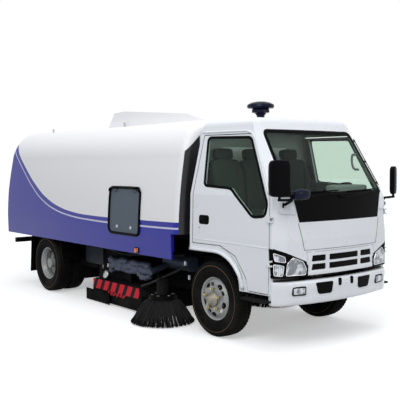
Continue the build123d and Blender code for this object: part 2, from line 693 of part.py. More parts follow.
# ---- mirrors: a housing on arms at each side, and a round close-view mirror on the right ----
# columns: side, station, height and middle of the housing, its width
mirror_table = ((-1, 990, 1545, 888, 194), (1, 830, 1505, 912, 146))
mirror_height = 288
mirror_depth = 74
mirror_arm_radius = 11
close_mirror_radius = 74
mirror_foot = (836, 690, 1256)      # inside the pillar, trimmed at its face
mirror_knee_y = 742
with BuildPart() as mirrors:
    for side, station, height, middle, width in mirror_table:
        with BuildSketch(Plane.YZ.offset(front_axle_x + station)):
            with Locations((side * middle, height)):
                RectangleRounded(width, mirror_height, 30)
        extrude(amount=-mirror_depth * 0.45)
        with BuildSketch(Plane.YZ.offset(front_axle_x + station)):
            with Locations((side * middle, height)):
                RectangleRounded(width, mirror_height, 30)
        extrude(amount=mirror_depth * 0.55, taper=24)
        low = height - mirror_height / 2
        arm_x = front_axle_x + station
        foot = (front_axle_x + mirror_foot[0], side * mirror_foot[1], mirror_foot[2])
        elbow = (arm_x, side * middle, low - 30)
        knee = (arm_x + 14, side * mirror_knee_y, low - 40)
        add(rod((arm_x, side * middle, low + 20), elbow, mirror_arm_radius))
        add(rod(elbow, knee, mirror_arm_radius))
        add(rod(knee, foot, mirror_arm_radius))
        for joint in (elbow, knee):
            with Locations(joint):
                Sphere(mirror_arm_radius)
    # the round close-view mirror on its own stalk from the right arm's knee
    add(rod((front_axle_x + 1004, -mirror_knee_y, mirror_table[0][2] - mirror_height / 2 - 40),
            (front_axle_x + 990, -742, 1460), mirror_arm_radius * 0.8))
    with Locations((front_axle_x + mirror_overhang - close_mirror_radius, -742, 1432)):
        Sphere(close_mirror_radius)
        with Locations((-60, 0, 0)):
            Box(100, 160, 160, mode=Mode.SUBTRACT)
    add(cab_form(-seat_gap, cab_sill_z, cab_roof_z), mode=Mode.SUBTRACT)
mirrors.part.label = "mirrors"
export_step(mirrors.part, "parts/mirrors.step")

# ---- dashboard with the steering column, the seats and the steering wheel ----
dash_half_width = 690
wheel_centre = (front_axle_x + 440, 430, 1368)
wheel_ring_radius = 205
wheel_rim_radius = 15
column_radius = 24
column_tilt = 32             # degrees from upright
column_top = Plane(wheel_centre, z_dir=(-math.sin(math.radians(column_tilt)), 0, math.cos(math.radians(column_tilt))))
with BuildPart() as dashboard:
    with BuildSketch(Plane.XZ.offset(-dash_half_width)):
        with BuildLine():
            Polyline(
                (front_axle_x + 640, 960), (front_axle_x + 560, 1170), (front_axle_x + 600, 1270),
                (front_axle_x + 700, 1312), (front_axle_x + 790, 1312), (front_axle_x + 790, 960), close=True,
            )
        make_face()
    extrude(amount=2 * dash_half_width)
    with Locations((front_axle_x + 690, 0, (tunnel_z + cab_wall + 960) / 2)):
        Box(100, 300, 960 - tunnel_z - cab_wall)
    with BuildSketch(column_top.offset(-60)):
        Circle(column_radius + 14)
    extrude(amount=-300)
dashboard.part.label = "dashboard"
export_step(dashboard.part, "parts/dashboard.step")

with BuildPart() as steering_wheel:
    with BuildSketch(Plane(column_top.origin, x_dir=column_top.x_dir, z_dir=column_top.y_dir)):
        with Locations((wheel_ring_radius, 0)):
            Circle(wheel_rim_radius)
    revolve(axis=Axis(column_top.origin, column_top.z_dir))
    with BuildSketch(column_top.offset(-44)):
        Circle(58)
    extrude(amount=44)
    with BuildSketch(column_top.offset(-59.5)):
        Circle(column_radius)
    extrude(amount=20)
    with BuildSketch(column_top.offset(-22)):
        for turn in (0, 180):
            with Locations(Location((0, 0, 0), turn)):
                with Locations((wheel_ring_radius / 2 + 20, 0)):
                    Rectangle(wheel_ring_radius - 40 + 12, 40)
        with Locations((0, 0)):
            with Locations((0, 0)):
                Circle(40)
    extrude(amount=12)
steering_wheel.part.label = "steering_wheel"
export_step(steering_wheel.part, "parts/steering_wheel.step")

# columns: middle from the centre line, width
seat_table = ((430, 460), (-112, 374), (-502, 396))
seat_front_x = front_axle_x + 330
seat_rear_x = front_axle_x - 130
seat_base_z = 1080
cushion_height = 130
back_height = 560
back_depth = 110
with BuildPart() as seat_bases:
    for middle, width in seat_table:
        with Locations(((seat_front_x + seat_rear_x) / 2 - 10, middle, (cab_floor_z + cab_floor + seat_base_z) / 2)):
            Box(420, width - 40, seat_base_z - cab_floor_z - cab_floor)
seat_bases.part.label = "seat_bases"
export_step(seat_bases.part, "parts/seat_bases.step")
with BuildPart() as seats:
    for middle, width in seat_table:
        with Locations(((seat_front_x + seat_rear_x) / 2, middle, seat_base_z + cushion_height / 2)):
            Box(seat_front_x - seat_rear_x, width, cushion_height)
        with BuildSketch(Plane.XZ.offset(-(middle + width / 2))):
            with BuildLine():
                base = (seat_rear_x + 20, seat_base_z + cushion_height - 10)
                head = (base[0] - 70, base[1] + back_height)
                Polyline(base, (base[0] + back_depth, base[1]), (head[0] + back_depth - 30, head[1]), head, close=True)
            make_face()
        extrude(amount=width)
        with Locations((head[0] + 40, middle, head[1] + 60)):
            Box(80, 240, 122)
seats.part.label = "seats"
export_step(seats.part, "parts/seats.step")

# ---- sweeping body: a shell with rounded shoulders that tips to the rear to empty ----
# Half section, as (half width, height): the side up to the shoulder, then the crowned roof.
body_side = ((940, body_floor_z), (945, 960), (930, 1250), (868, 1742))
body_shoulder = ((868, 1742), (770, 1990), (575, 2130))
body_roof = ((575, 2130), (0, body_roof_z))
skirt_step_z = 975           # ahead of the skirt the shell's lower edge steps up behind the cab
skirt_front_x = front_axle_x - 495
body_face_lean = 60
tail_lean = 70
tail_knee_z = 1300
nose_radius = 95


def body_form(inset):
    """The shell's section carried from nose to tail, moved inwards by inset, with the tail leaning forward."""
    roof_edge = (body_roof[0][0] - inset * 0.4, body_roof[0][1] - inset)
    rear_x = tail_x + inset
    with BuildPart() as form:
        with BuildSketch(Plane.YZ.offset(rear_x)):
            with BuildLine():
                for _, side in sides:
                    side_points = [(side * (half - inset), height) for half, height in body_side]
                    low_point = (side_points[0][0], body_floor_z + inset)
                    Line((0, low_point[1]), low_point)
                    Line(low_point, side_points[1])
                    ThreePointArc(side_points[1], side_points[2], side_points[3])
                    ThreePointArc(
                        side_points[3],
                        (side * (body_shoulder[1][0] - inset * 0.75), body_shoulder[1][1] - inset * 0.66),
                        (side * roof_edge[0], roof_edge[1]),
                    )
                    Line((side * roof_edge[0], roof_edge[1]), (0, body_roof[1][1] - inset))
            make_face()
        extrude(amount=body_front_x - inset - rear_x)
        with BuildSketch(Plane.XZ.offset(-2 * body_half_width)):
            with BuildLine():
                Polyline(
                    (rear_x - 10, tail_knee_z), (rear_x, tail_knee_z), (rear_x + tail_lean, body_roof_z + 10),
                    (rear_x - 10, body_roof_z + 10), close=True,
                )
            make_face()
        extrude(amount=4 * body_half_width, mode=Mode.SUBTRACT)
    return form.part


# ---- shell of the body, with bearers on the frame and lugs on the tipping pins ----
body_outer = body_form(0)
nose_edges = [
    edge for edge in body_outer.edges()
    if edge.bounding_box().min.X > body_front_x - 1 and edge.center().Z > body_floor_z + 5
]
body_outer = body_outer.fillet(nose_radius, nose_edges)
body_cavity = body_form(body_wall)
engine_bay_x = body_front_x - 1180          # bulkhead between the engine bay and the hopper
skirt_wall = 21
bearer_width = 60
bearer_rear_x = tip_pivot_x + 60
hump_rear_x = front_axle_x - 2790
hump_front_x = front_axle_x - 560
tail_door_edge = ((846, body_deck_z + 50), (850, 1300), (792, 1742), (640, 1985))
tail_door_depth = 130
tail_hinge_x = tail_x + 30
tail_hinge_z = 2030
tail_hinge_y = 420
tail_pin_radius = 12
tail_barrel_radius = 22
tail_barrel_length = 110
panel_front_x = front_axle_x - 1060
panel_rear_x = front_axle_x - 1700
panel_low_z = 905
panel_high_z = 1420
panel_corner = 60
panel_hinge_y = 930
panel_hinge_z = panel_high_z + 5
panel_barrel_radius = 11
panel_hinge_reach = 200      # each side of the panel's middle
panel_leaf = 60
duct_radius = 100
duct_x = front_axle_x - 2000
duct_y = -200
with BuildPart() as body_shell:
    add(body_outer)
    # raised housing of the suction duct along the roof
    with BuildSketch(Plane.XZ.offset(-300)):
        with BuildLine():
            Polyline(
                (hump_rear_x, body_roof_z - 60), (hump_rear_x + 190, hump_top_z - 12), (hump_rear_x + 420, hump_top_z),
                (hump_front_x - 500, body_roof_z + 74), (hump_front_x, body_roof_z - 60), close=True,
            )
        make_face()
    extrude(amount=600)
    add(body_cavity, mode=Mode.SUBTRACT)
    # floor of the hopper, bulkhead of the engine bay
    with Locations(((tail_x + engine_bay_x) / 2, 0, body_deck_z + body_wall / 2)):
        Box(engine_bay_x - tail_x, 2 * body_half_width - 60, body_wall)
    with BuildPart(mode=Mode.PRIVATE) as bulkhead:
        with Locations((engine_bay_x, 0, (body_deck_z + body_roof_z) / 2)):
            Box(body_wall, 2 * body_half_width, body_roof_z - body_deck_z)
        add(body_cavity, mode=Mode.INTERSECT)
    add(bulkhead.part)
    # open underneath, inside the skirts
    with Locations((front_axle_x - wheelbase / 2, 0, body_deck_z - 200)):
        Box(3 * wheelbase, 2 * (body_side[0][0] - skirt_wall), 400, mode=Mode.SUBTRACT)
    with Locations(((engine_bay_x + body_front_x) / 2 - 10, 0, body_deck_z + 10)):
        Box(body_front_x - engine_bay_x - 60, 2 * (body_side[0][0] - body_wall), 120, mode=Mode.SUBTRACT)
    # the lower edge steps up behind the cab
    with Locations((skirt_front_x + 200, 0, skirt_step_z - 200)):
        Box(400, 3 * body_half_width, 400, mode=Mode.SUBTRACT)
    with Locations((duct_x, duct_y, body_deck_z + body_wall / 2)):
        Cylinder(duct_radius, 2 * body_wall, mode=Mode.SUBTRACT)
    # bearers that lie on the frame, and lugs beside the rails down to the tipping pins
    for _, side in sides:
        with Locations((
            (bearer_rear_x + engine_bay_x) / 2, side * rail_half_spacing, (rail_top_z + seat_gap + body_deck_z) / 2
        )):
            Box(engine_bay_x - bearer_rear_x, bearer_width, body_deck_z - rail_top_z - seat_gap)
        with BuildSketch(Plane.XZ.offset(-(side * tip_lug_y + tip_lug_width / 2))):
            with BuildLine():
                Polyline(
                    (tip_pivot_x - tip_eye_radius, tip_pivot_z), (tip_pivot_x - 110, body_deck_z + 10),
                    (tip_pivot_x + 110, body_deck_z + 10), (tip_pivot_x + tip_eye_radius, tip_pivot_z), close=True,
                )
            make_face()
            with Locations((tip_pivot_x, tip_pivot_z)):
                Circle(tip_eye_radius)
                Circle(tip_pin_radius + running_gap, mode=Mode.SUBTRACT)
        extrude(amount=tip_lug_width)
    # tail door and service panel openings with their hinge ears and pins
    add(front_prism(tail_door_edge, 0, tail_x - 10, tail_x + tail_door_depth), mode=Mode.SUBTRACT)
    with BuildSketch(Plane.XZ.offset(700)):
        with Locations(((panel_front_x + panel_rear_x) / 2, (panel_low_z + panel_high_z) / 2)):
            RectangleRounded(panel_front_x - panel_rear_x, panel_high_z - panel_low_z, panel_corner)
    extrude(amount=400, mode=Mode.SUBTRACT)
    for _, side in sides:
        for ear in (-1, 1):
            with Locations((
                tail_hinge_x + 30, side * tail_hinge_y + ear * (tail_barrel_length / 2 + 10), tail_hinge_z
            )):
                Box(60 + 2 * tail_pin_radius, 18, 2 * tail_pin_radius + 14)
            with Locations((
                (panel_front_x + panel_rear_x) / 2 + side * panel_hinge_reach + ear * (panel_leaf / 2 + 8),
                -panel_hinge_y + 12, panel_hinge_z,
            )):
                Box(14, 38, 20)
        with Locations(Location((tail_hinge_x, side * tail_hinge_y, tail_hinge_z), (90, 0, 0))):
            Cylinder(tail_pin_radius, tail_barrel_length + 30)
        with Locations(Location(
            ((panel_front_x + panel_rear_x) / 2 + side * panel_hinge_reach, -panel_hinge_y, panel_hinge_z), (0, 90, 0)
        )):
            Cylinder(hinge_pin_radius, panel_leaf + 22)
body_shell.part.label = "body_shell"
export_step(body_shell.part, "parts/body_shell.step")

# ---- tail door, hung from its top edge ----
body_wall_form = body_outer - body_cavity
tail_face_x = tail_x + tail_lean * (tail_door_edge[3][1] - tail_knee_z) / (body_roof_z + 10 - tail_knee_z)
with BuildPart() as tail_door:
    add(body_wall_form)
    add(front_prism(tail_door_edge, door_gap, tail_x - 10, tail_x + tail_door_depth), mode=Mode.INTERSECT)
    for _, side in sides:
        with Locations((tail_face_x - 10, side * tail_hinge_y, tail_hinge_z - 90)):
            Box(60, tail_barrel_length - 4, 40)
        with Locations((tail_hinge_x + 2, side * tail_hinge_y, tail_hinge_z - 55)):
            Box(32, tail_barrel_length - 4, 110)
        with Locations(Location((tail_hinge_x, side * tail_hinge_y, tail_hinge_z), (90, 0, 0))):
            Cylinder(tail_barrel_radius, tail_barrel_length - 4)
            Cylinder(tail_pin_radius + running_gap, 2 * tail_barrel_length, mode=Mode.SUBTRACT)
tail_door.part.label = "tail_door"
export_step(tail_door.part, "parts/tail_door.step")

# ---- service panel on the right side, hung from its top edge ----
with BuildPart() as service_panel:
    add(body_wall_form)
    with BuildSketch(Plane.XZ.offset(700)):
        with Locations(((panel_front_x + panel_rear_x) / 2, (panel_low_z + panel_high_z) / 2)):
            RectangleRounded(
                panel_front_x - panel_rear_x - 2 * door_gap, panel_high_z - panel_low_z - 2 * door_gap,
                panel_corner - door_gap,
            )
    extrude(amount=400, mode=Mode.INTERSECT)
    for side in (-1, 1):
        middle_x = (panel_front_x + panel_rear_x) / 2 + side * panel_hinge_reach
        with Locations((middle_x, -panel_hinge_y + 15, panel_hinge_z - 30)):
            Box(panel_leaf, 40, 26)
        with Locations((middle_x, -panel_hinge_y + 3, panel_hinge_z - 20)):
            Box(panel_leaf, 16, 40)
        with Locations(Location((middle_x, -panel_hinge_y, panel_hinge_z), (0, 90, 0))):
            Cylinder(panel_barrel_radius, panel_leaf)
            Cylinder(hinge_pin_radius + running_gap, 2 * panel_leaf, mode=Mode.SUBTRACT)
service_panel.part.label = "service_panel"
export_step(service_panel.part, "parts/service_panel.step")

# ---- air cleaner with its round cap, on the roof of the engine bay ----
cleaner_x = front_axle_x - 540
cleaner_y = 340
cleaner_base_z = body_roof_z - (cleaner_y - 60) / body_roof[0][0] * (body_roof_z - body_roof[0][1]) + seat_gap
with BuildPart() as air_cleaner:
    with BuildSketch(Plane((cleaner_x, cleaner_y, cleaner_base_z), x_dir=(1, 0, 0), z_dir=(0, -1, 0))):
        with BuildLine():
            Polyline(
                (0, 0), (58, 0), (58, 10), (44, 14), (44, 66), (66, 92), (98, 98), (98, 128), (88, 140), (140, 146),
                (154, 162), (146, 188), (108, 208), (56, 219), (0, 222), close=True,
            )
        make_face()
    revolve(axis=Axis((cleaner_x, cleaner_y, 0), (0, 0, 1)))
air_cleaner.part.label = "air_cleaner"
export_step(air_cleaner.part, "parts/air_cleaner.step")

# ---- sweeper's own engine: a plain block on four feet that stand on the rails ----
aux_engine_x = engine_bay_x + 470
aux_engine_size = (800, 800, 500)
aux_foot_height = 145
with BuildPart() as aux_engine:
    for side in (-1, 1):
        for foot in (-1, 1):
            with Locations((aux_engine_x + foot * 300, side * rail_half_spacing, rail_top_z + aux_foot_height / 2)):
                Box(80, rail_flange, aux_foot_height)
    with Locations((aux_engine_x, 0, rail_top_z + aux_foot_height + aux_engine_size[2] / 2)):
        Box(*aux_engine_size)
aux_engine.part.label = "aux_engine"
export_step(aux_engine.part, "parts/aux_engine.step")

# ---- underrun bar behind the rails ----
underrun_x = tip_pivot_x - 175
underrun_z = 597
underrun_size = (50, 1740, 66)
with BuildPart() as underrun_bar:
    with Locations((underrun_x, 0, underrun_z)):
        Box(*underrun_size)
    for _, side in sides:
        with Locations(((rail_rear_x + underrun_x) / 2, side * rail_half_spacing, underrun_z - 10)):
            Box(rail_rear_x - underrun_x, rail_flange, 24)
underrun_bar.part.label = "underrun_bar"
export_step(underrun_bar.part, "parts/underrun_bar.step")

# ---- rear mudguards with their flaps, on stays from the rails ----
guard_thickness = 6
guard_inner_y = 482
guard_outer_y = 912
guard_edge = (
    (460, 470), (415, 640), (330, 772), (-330, 772), (-455, 690), (-462, 660), (-500, 215),
)
rail_side_y = rail_half_spacing + rail_flange / 2
with BuildPart() as rear_mudguards:
    for _, side in sides:
        middle_y = side * (guard_inner_y + guard_outer_y) / 2
        for (start_x, start_z), (end_x, end_z) in zip(guard_edge, guard_edge[1:]):
            start = Vector(rear_axle_x + start_x, middle_y, start_z)
            end = Vector(rear_axle_x + end_x, middle_y, end_z)
            with Locations(Plane((start + end) * 0.5, x_dir=end - start, z_dir=(0, 1, 0))):
                Box((end - start).length + guard_thickness, guard_thickness, guard_outer_y - guard_inner_y)
        for stay_x, stay_z in ((422, 615), (-459, 660)):
            with Locations((rear_axle_x + stay_x, side * (rail_side_y + guard_outer_y - 40) / 2, stay_z)):
                Box(28, guard_outer_y - 40 - rail_side_y, 28)
rear_mudguards.part.label = "rear_mudguards"
export_step(rear_mudguards.part, "parts/rear_mudguards.step")

# ---- step plates under the doors ----
step_plate_size = (320, 150, 18)
step_plate_x = front_axle_x + 632
step_plate_y = 800
step_plate_z = 458
with BuildPart() as step_plates:
    for _, side in sides:
        with Locations((step_plate_x, side * step_plate_y, step_plate_z)):
            Box(*step_plate_size)
        for stay in (-1, 1):
            stay_x = step_plate_x - 110 + stay * 40
            with Locations((stay_x, side * (rail_side_y + step_plate_y) / 2, step_plate_z + 18)):
                Box(30, step_plate_y - rail_side_y, 24)
            with Locations((stay_x, side * (rail_side_y + 8), step_plate_z + 50)):
                Box(30, 16, 88)
step_plates.part.label = "step_plates"
export_step(step_plates.part, "parts/step_plates.step")

# ---- side tanks: fuel on the left, oil on the right, on brackets from the rails ----
# columns: side, station, length, inner and outer face, lower and upper face
tank_table = (
    (1, rear_axle_x + 942, 640, 430, 760, 400, 680),
    (-1, rear_axle_x + 882, 420, 430, 690, 430, 690),
)
with BuildPart() as side_tanks:
    for side, station, length, inner, outer, low, high in tank_table:
        with BuildSketch(Plane.YZ.offset(station - length / 2)):
            with Locations((side * (inner + outer) / 2, (low + high) / 2)):
                RectangleRounded(outer - inner, high - low, 50)
        extrude(amount=length)
        for stay in (-1, 1):
            with Locations((station + stay * length * 0.3, side * (rail_side_y + inner + 20) / 2, (low + high) / 2 + 60)):
                Box(50, inner + 20 - rail_side_y, 90)
side_tanks.part.label = "side_tanks"
export_step(side_tanks.part, "parts/side_tanks.step")

# ---- exhaust silencer and tail pipe on the right ----
silencer_x = front_axle_x - 898
silencer_y = -520
silencer_z = 610
silencer_radius = 82
silencer_length = 460
tail_pipe_radius = 32
with BuildPart() as exhaust:
    with Locations(Location((silencer_x, silencer_y, silencer_z), (0, 90, 0))):
        Cylinder(silencer_radius, silencer_length)
    for side in (-1, 1):
        with Locations((silencer_x + side * 140, (silencer_y - rail_side_y) / 2, silencer_z)):
            Box(24, -silencer_y - rail_side_y, 50)
    add(rod((silencer_x - 180, silencer_y, silencer_z - 20), (silencer_x - 180, -800, 500), tail_pipe_radius))
exhaust.part.label = "exhaust"
export_step(exhaust.part, "parts/exhaust.step")

# ---- suction nozzle across the vehicle, hung from the rails, with its duct up to the hopper ----
nozzle_front_x = front_axle_x - 1308
nozzle_rear_x = front_axle_x - 2378
nozzle_half_width = 760
nozzle_low_z = 24
nozzle_high_z = 290
nozzle_wall = 8
nozzle_roller_radius = 70
with BuildPart() as suction_nozzle:
    with BuildSketch(Plane.XZ.offset(-nozzle_half_width)):
        with BuildLine():
            Polyline(
                (nozzle_rear_x, nozzle_low_z), (nozzle_front_x, nozzle_low_z), (nozzle_front_x, 200),
                (nozzle_front_x - 60, nozzle_high_z), (nozzle_rear_x + 40, nozzle_high_z), (nozzle_rear_x, 180), close=True,
            )
        make_face()
    extrude(amount=2 * nozzle_half_width)
    with Locations(((nozzle_front_x + nozzle_rear_x) / 2, 0, (nozzle_low_z + nozzle_high_z) / 2 - nozzle_wall)):
        Box(
            nozzle_front_x - nozzle_rear_x - 16 * nozzle_wall, 2 * (nozzle_half_width - nozzle_wall),
            nozzle_high_z - nozzle_low_z, mode=Mode.SUBTRACT,
        )
    # hole under the duct
    with Locations((duct_x, duct_y, nozzle_high_z - nozzle_wall)):
        Cylinder(radius=duct_radius - 22, height=4 * nozzle_wall, mode=Mode.SUBTRACT)
suction_nozzle.part.label = "suction_nozzle"
export_step(suction_nozzle.part, "parts/suction_nozzle.step")

# ---- upright suction duct from the nozzle to the deck, and the four hangers that hold the nozzle to the rails ----
duct_top_z = body_deck_z - 12
hanger_height = rail_top_z - rail_height - nozzle_high_z
with BuildPart() as suction_duct:
    with Locations((duct_x, duct_y, (nozzle_high_z + duct_top_z) / 2)):
        Cylinder(radius=duct_radius - 12, height=duct_top_z - nozzle_high_z)
        Cylinder(radius=duct_radius - 22, height=duct_top_z - nozzle_high_z, mode=Mode.SUBTRACT)
    for _, side in sides:
        for station in (nozzle_rear_x + 160, nozzle_front_x - 160):
            with Locations((station, side * (rail_side_y - 20), nozzle_high_z + hanger_height / 2)):
                Box(70, 14, hanger_height)
suction_duct.part.label = "suction_duct"
export_step(suction_duct.part, "parts/suction_duct.step")

# ---- broom arms: each swings on an upright pin beside its rail and carries a disc broom ----
broom_x = front_axle_x - 850
broom_y = 800
broom_pin_x = front_axle_x - 1378
broom_pin_y = 470
broom_pin_radius = 16
broom_tip_radius = 338
broom_tip_z = 14
broom_disc_radius = 150
broom_disc_z = 250
broom_disc_height = 44
broom_spindle_radius = 20
broom_motor_radius = 62
tuft_count = 40
tuft_radius = 8
arm_z = 420
arm_height = 60
barrel_half = 84
barrel_mid_z = arm_z + 50
with BuildPart() as arm_brackets:
    for _, side in sides:
        for level in (-1, 1):
            with Locations((
                broom_pin_x, side * (rail_side_y + broom_pin_y + 20) / 2, barrel_mid_z + level * (barrel_half + 10)
            )):
                Box(70, broom_pin_y + 20 - rail_side_y, 16)
        with Locations((broom_pin_x, side * (rail_side_y + 8), barrel_mid_z)):
            Box(70, 16, 2 * barrel_half + 36)
        with Locations((broom_pin_x, side * broom_pin_y, barrel_mid_z)):
            Cylinder(broom_pin_radius, 2 * barrel_half + 36)
arm_brackets.part.label = "arm_brackets"
export_step(arm_brackets.part, "parts/arm_brackets.step")
for side_name, side in sides:
    start = Vector(broom_pin_x, side * broom_pin_y, 0)
    end = Vector(broom_x, side * broom_y, 0)
    with BuildPart() as broom_arm:
        with Locations((broom_pin_x, side * broom_pin_y, barrel_mid_z)):
            Cylinder(32, 2 * barrel_half)
        with Locations(Plane((start + end) * 0.5 + Vector(0, 0, arm_z), x_dir=end - start, z_dir=(0, 0, 1))):
            Box((end - start).length, 50, arm_height)
        with Locations((broom_x, side * broom_y, (arm_z + arm_height / 2 + broom_disc_z + broom_disc_height + 6) / 2)):
            Cylinder(broom_motor_radius, arm_z + arm_height / 2 - broom_disc_z - broom_disc_height - 6)
        with Locations((broom_x, side * broom_y, broom_disc_z + broom_disc_height)):
            Cylinder(broom_spindle_radius, 60)
        with Locations((broom_pin_x, side * broom_pin_y, barrel_mid_z)):
            Cylinder(broom_pin_radius + running_gap, 300, mode=Mode.SUBTRACT)
    with BuildPart() as broom:
        with Locations((broom_x, side * broom_y, broom_disc_z + broom_disc_height / 2)):
            Cylinder(broom_disc_radius, broom_disc_height)
        for index in range(tuft_count):
            turn = Vector(1, 0, 0).rotate(Axis.Z, index * 360 / tuft_count)
            middle = Vector(broom_x, side * broom_y, 0)
            add(rod(
                middle + turn * (broom_disc_radius - 24) + Vector(0, 0, broom_disc_z + 16),
                middle + turn * broom_tip_radius + Vector(0, 0, broom_tip_z), tuft_radius,
            ))
        with Locations((broom_x, side * broom_y, broom_disc_z + broom_disc_height / 2)):
            Cylinder(broom_spindle_radius + running_gap, 2 * broom_disc_height, mode=Mode.SUBTRACT)
    broom_arm.part.label = f"broom_arm_{side_name}"
    broom.part.label = f"broom_{side_name}"
    export_step(broom_arm.part, f"parts/broom_arm_{side_name}.step")
    export_step(broom.part, f"parts/broom_{side_name}.step")
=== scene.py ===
import json
import math
import bpy
import numpy as np
from mathutils import Matrix, Vector
from mathutils.bvhtree import BVHTree

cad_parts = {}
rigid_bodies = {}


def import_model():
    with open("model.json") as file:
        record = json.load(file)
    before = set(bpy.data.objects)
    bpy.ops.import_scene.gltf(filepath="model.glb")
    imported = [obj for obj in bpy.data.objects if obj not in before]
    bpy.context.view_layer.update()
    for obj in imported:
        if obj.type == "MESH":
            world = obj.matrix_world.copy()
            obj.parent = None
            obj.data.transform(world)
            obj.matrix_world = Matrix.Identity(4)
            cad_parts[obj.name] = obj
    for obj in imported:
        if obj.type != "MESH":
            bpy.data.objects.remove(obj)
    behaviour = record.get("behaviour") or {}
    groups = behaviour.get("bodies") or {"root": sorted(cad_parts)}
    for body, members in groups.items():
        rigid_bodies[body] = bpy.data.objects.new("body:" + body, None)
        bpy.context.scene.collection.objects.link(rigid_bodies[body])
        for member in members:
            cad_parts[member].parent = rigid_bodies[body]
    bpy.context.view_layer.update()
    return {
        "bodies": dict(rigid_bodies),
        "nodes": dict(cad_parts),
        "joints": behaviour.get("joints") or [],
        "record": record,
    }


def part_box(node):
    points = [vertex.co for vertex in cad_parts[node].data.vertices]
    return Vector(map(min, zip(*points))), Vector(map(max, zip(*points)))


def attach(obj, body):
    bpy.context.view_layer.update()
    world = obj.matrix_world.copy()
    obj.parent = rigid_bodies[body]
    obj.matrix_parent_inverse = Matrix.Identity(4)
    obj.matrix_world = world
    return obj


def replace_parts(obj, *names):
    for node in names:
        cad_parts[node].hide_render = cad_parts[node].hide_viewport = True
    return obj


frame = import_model()
nodes = frame["nodes"]
axleX = sum(corner[0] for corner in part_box("rim_front_left")) / 2  # front axle along X
rearX = sum(corner[0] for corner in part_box("rim_rear_left")) / 2  # rear axle along X
scene = bpy.context.scene


# the photograph's camera: place from the front axle, turns in degrees, focal length in its pixels
photoCamera = {"place": (5.2248, -5.0925, 1.6710), "yaw": 51.6414, "pitch": 2.8603, "roll": -0.2963,
               "focal": 702.80, "width": 400, "sensor": 36, "farthest": 200}


def placeCamera(view):
    y, p, r = (math.radians(view[turn]) for turn in ("yaw", "pitch", "roll"))
    ahead = Vector((-math.sin(y) * math.cos(p), math.cos(y) * math.cos(p), -math.sin(p)))
    right = Vector((math.cos(y), math.sin(y), 0))
    up = right.cross(ahead)
    turned = Matrix((right * math.cos(r) + up * math.sin(r), up * math.cos(r) - right * math.sin(r), -ahead))
    place = (axleX + view["place"][0], *view["place"][1:])
    camera = bpy.data.objects.new("camera", bpy.data.cameras.new("camera"))
    camera.matrix_world = Matrix.Translation(place) @ turned.transposed().to_4x4()
    camera.data.sensor_width = view["sensor"]
    camera.data.lens = view["focal"] / view["width"] * view["sensor"]
    camera.data.clip_end = view["farthest"]
    scene.collection.objects.link(camera)
    scene.camera = camera


placeCamera(photoCamera)
scene.view_settings.view_transform = "Standard"


# node shorthand: a tree with helpers that add nodes, set or link sockets and do sums
class Net:
    def __init__(self, tree):
        self.tree = tree
        self.nodes = tree.nodes

    def add(self, kind, inputs=None, **settings):
        node = self.nodes.new("ShaderNode" + kind)
        for key, value in settings.items():
            setattr(node, key, value)
        for key, value in (inputs or {}).items():
            self.put(node.inputs[key], value)
        return node

    def put(self, socket, value):
        if isinstance(value, bpy.types.NodeSocket):
            self.tree.links.new(value, socket)
        elif isinstance(value, (tuple, list)) and len(value) == 3 and socket.type == "RGBA":
            socket.default_value = (*value, 1)
        else:
            socket.default_value = value

    def math(self, operation, *values, clamp=False):
        node = self.add("Math", operation=operation, use_clamp=clamp)
        for socket, value in zip(node.inputs, values):
            self.put(socket, value)
        return node.outputs[0]

    # one operation over two or more values in turn
    def fold(self, operation, *values):
        result = values[0]
        for value in values[1:]:
            result = self.math(operation, result, value)
        return result

    def times(self, *values):
        return self.fold("MULTIPLY", *values)

    def plus(self, *values):
        return self.fold("ADD", *values)

    def most(self, *values):
        return self.fold("MAXIMUM", *values)

    def minus(self, first, second):
        return self.math("SUBTRACT", first, second)

    def size(self, value):
        return self.math("ABSOLUTE", value)

    def above(self, value, limit):
        return self.math("GREATER_THAN", value, limit)

    def below(self, value, limit):
        return self.math("LESS_THAN", value, limit)

    def mix(self, factor, first, second):
        node = self.add("Mix", data_type="RGBA")
        for socket, value in zip((node.inputs["Factor"], node.inputs[6], node.inputs[7]), (factor, first, second)):
            self.put(socket, value)
        return node.outputs[2]

    def ramp(self, value, low, high, outLow=0.0, outHigh=1.0):
        node = self.add("MapRange", interpolation_type="SMOOTHSTEP")
        for socket, item in zip(node.inputs, (value, low, high, outLow, outHigh)):
            self.put(socket, item)
        return node.outputs[0]

    def noise(self, vector, scale, detail=3.0, rough=0.5):
        inputs = {"Vector": vector, "Scale": scale, "Detail": detail, "Roughness": rough}
        return self.add("TexNoise", inputs).outputs["Fac"]

    def place(self):
        vector = self.add("TexCoord").outputs["Object"]
        return vector, *self.add("SeparateXYZ", {0: vector}).outputs[:3]

    def normal(self):
        return self.add("SeparateXYZ", {0: self.add("TexCoord").outputs["Normal"]}).outputs


# a shader node group with named sockets: (name, kind, default)
def makeGroup(name, inputs, outputs, build):
    tree = bpy.data.node_groups.new(name, "ShaderNodeTree")
    for label, kind, default in inputs:
        socket = tree.interface.new_socket(label, in_out="INPUT", socket_type="NodeSocket" + kind)
        if default is not None:
            socket.default_value = default
    for label, kind in outputs:
        tree.interface.new_socket(label, in_out="OUTPUT", socket_type="NodeSocket" + kind)
    net = Net(tree)
    entry = tree.nodes.new("NodeGroupInput")
    leave = tree.nodes.new("NodeGroupOutput")
    for label, value in build(net, entry.outputs).items():
        net.put(leave.inputs[label], value)
    return tree


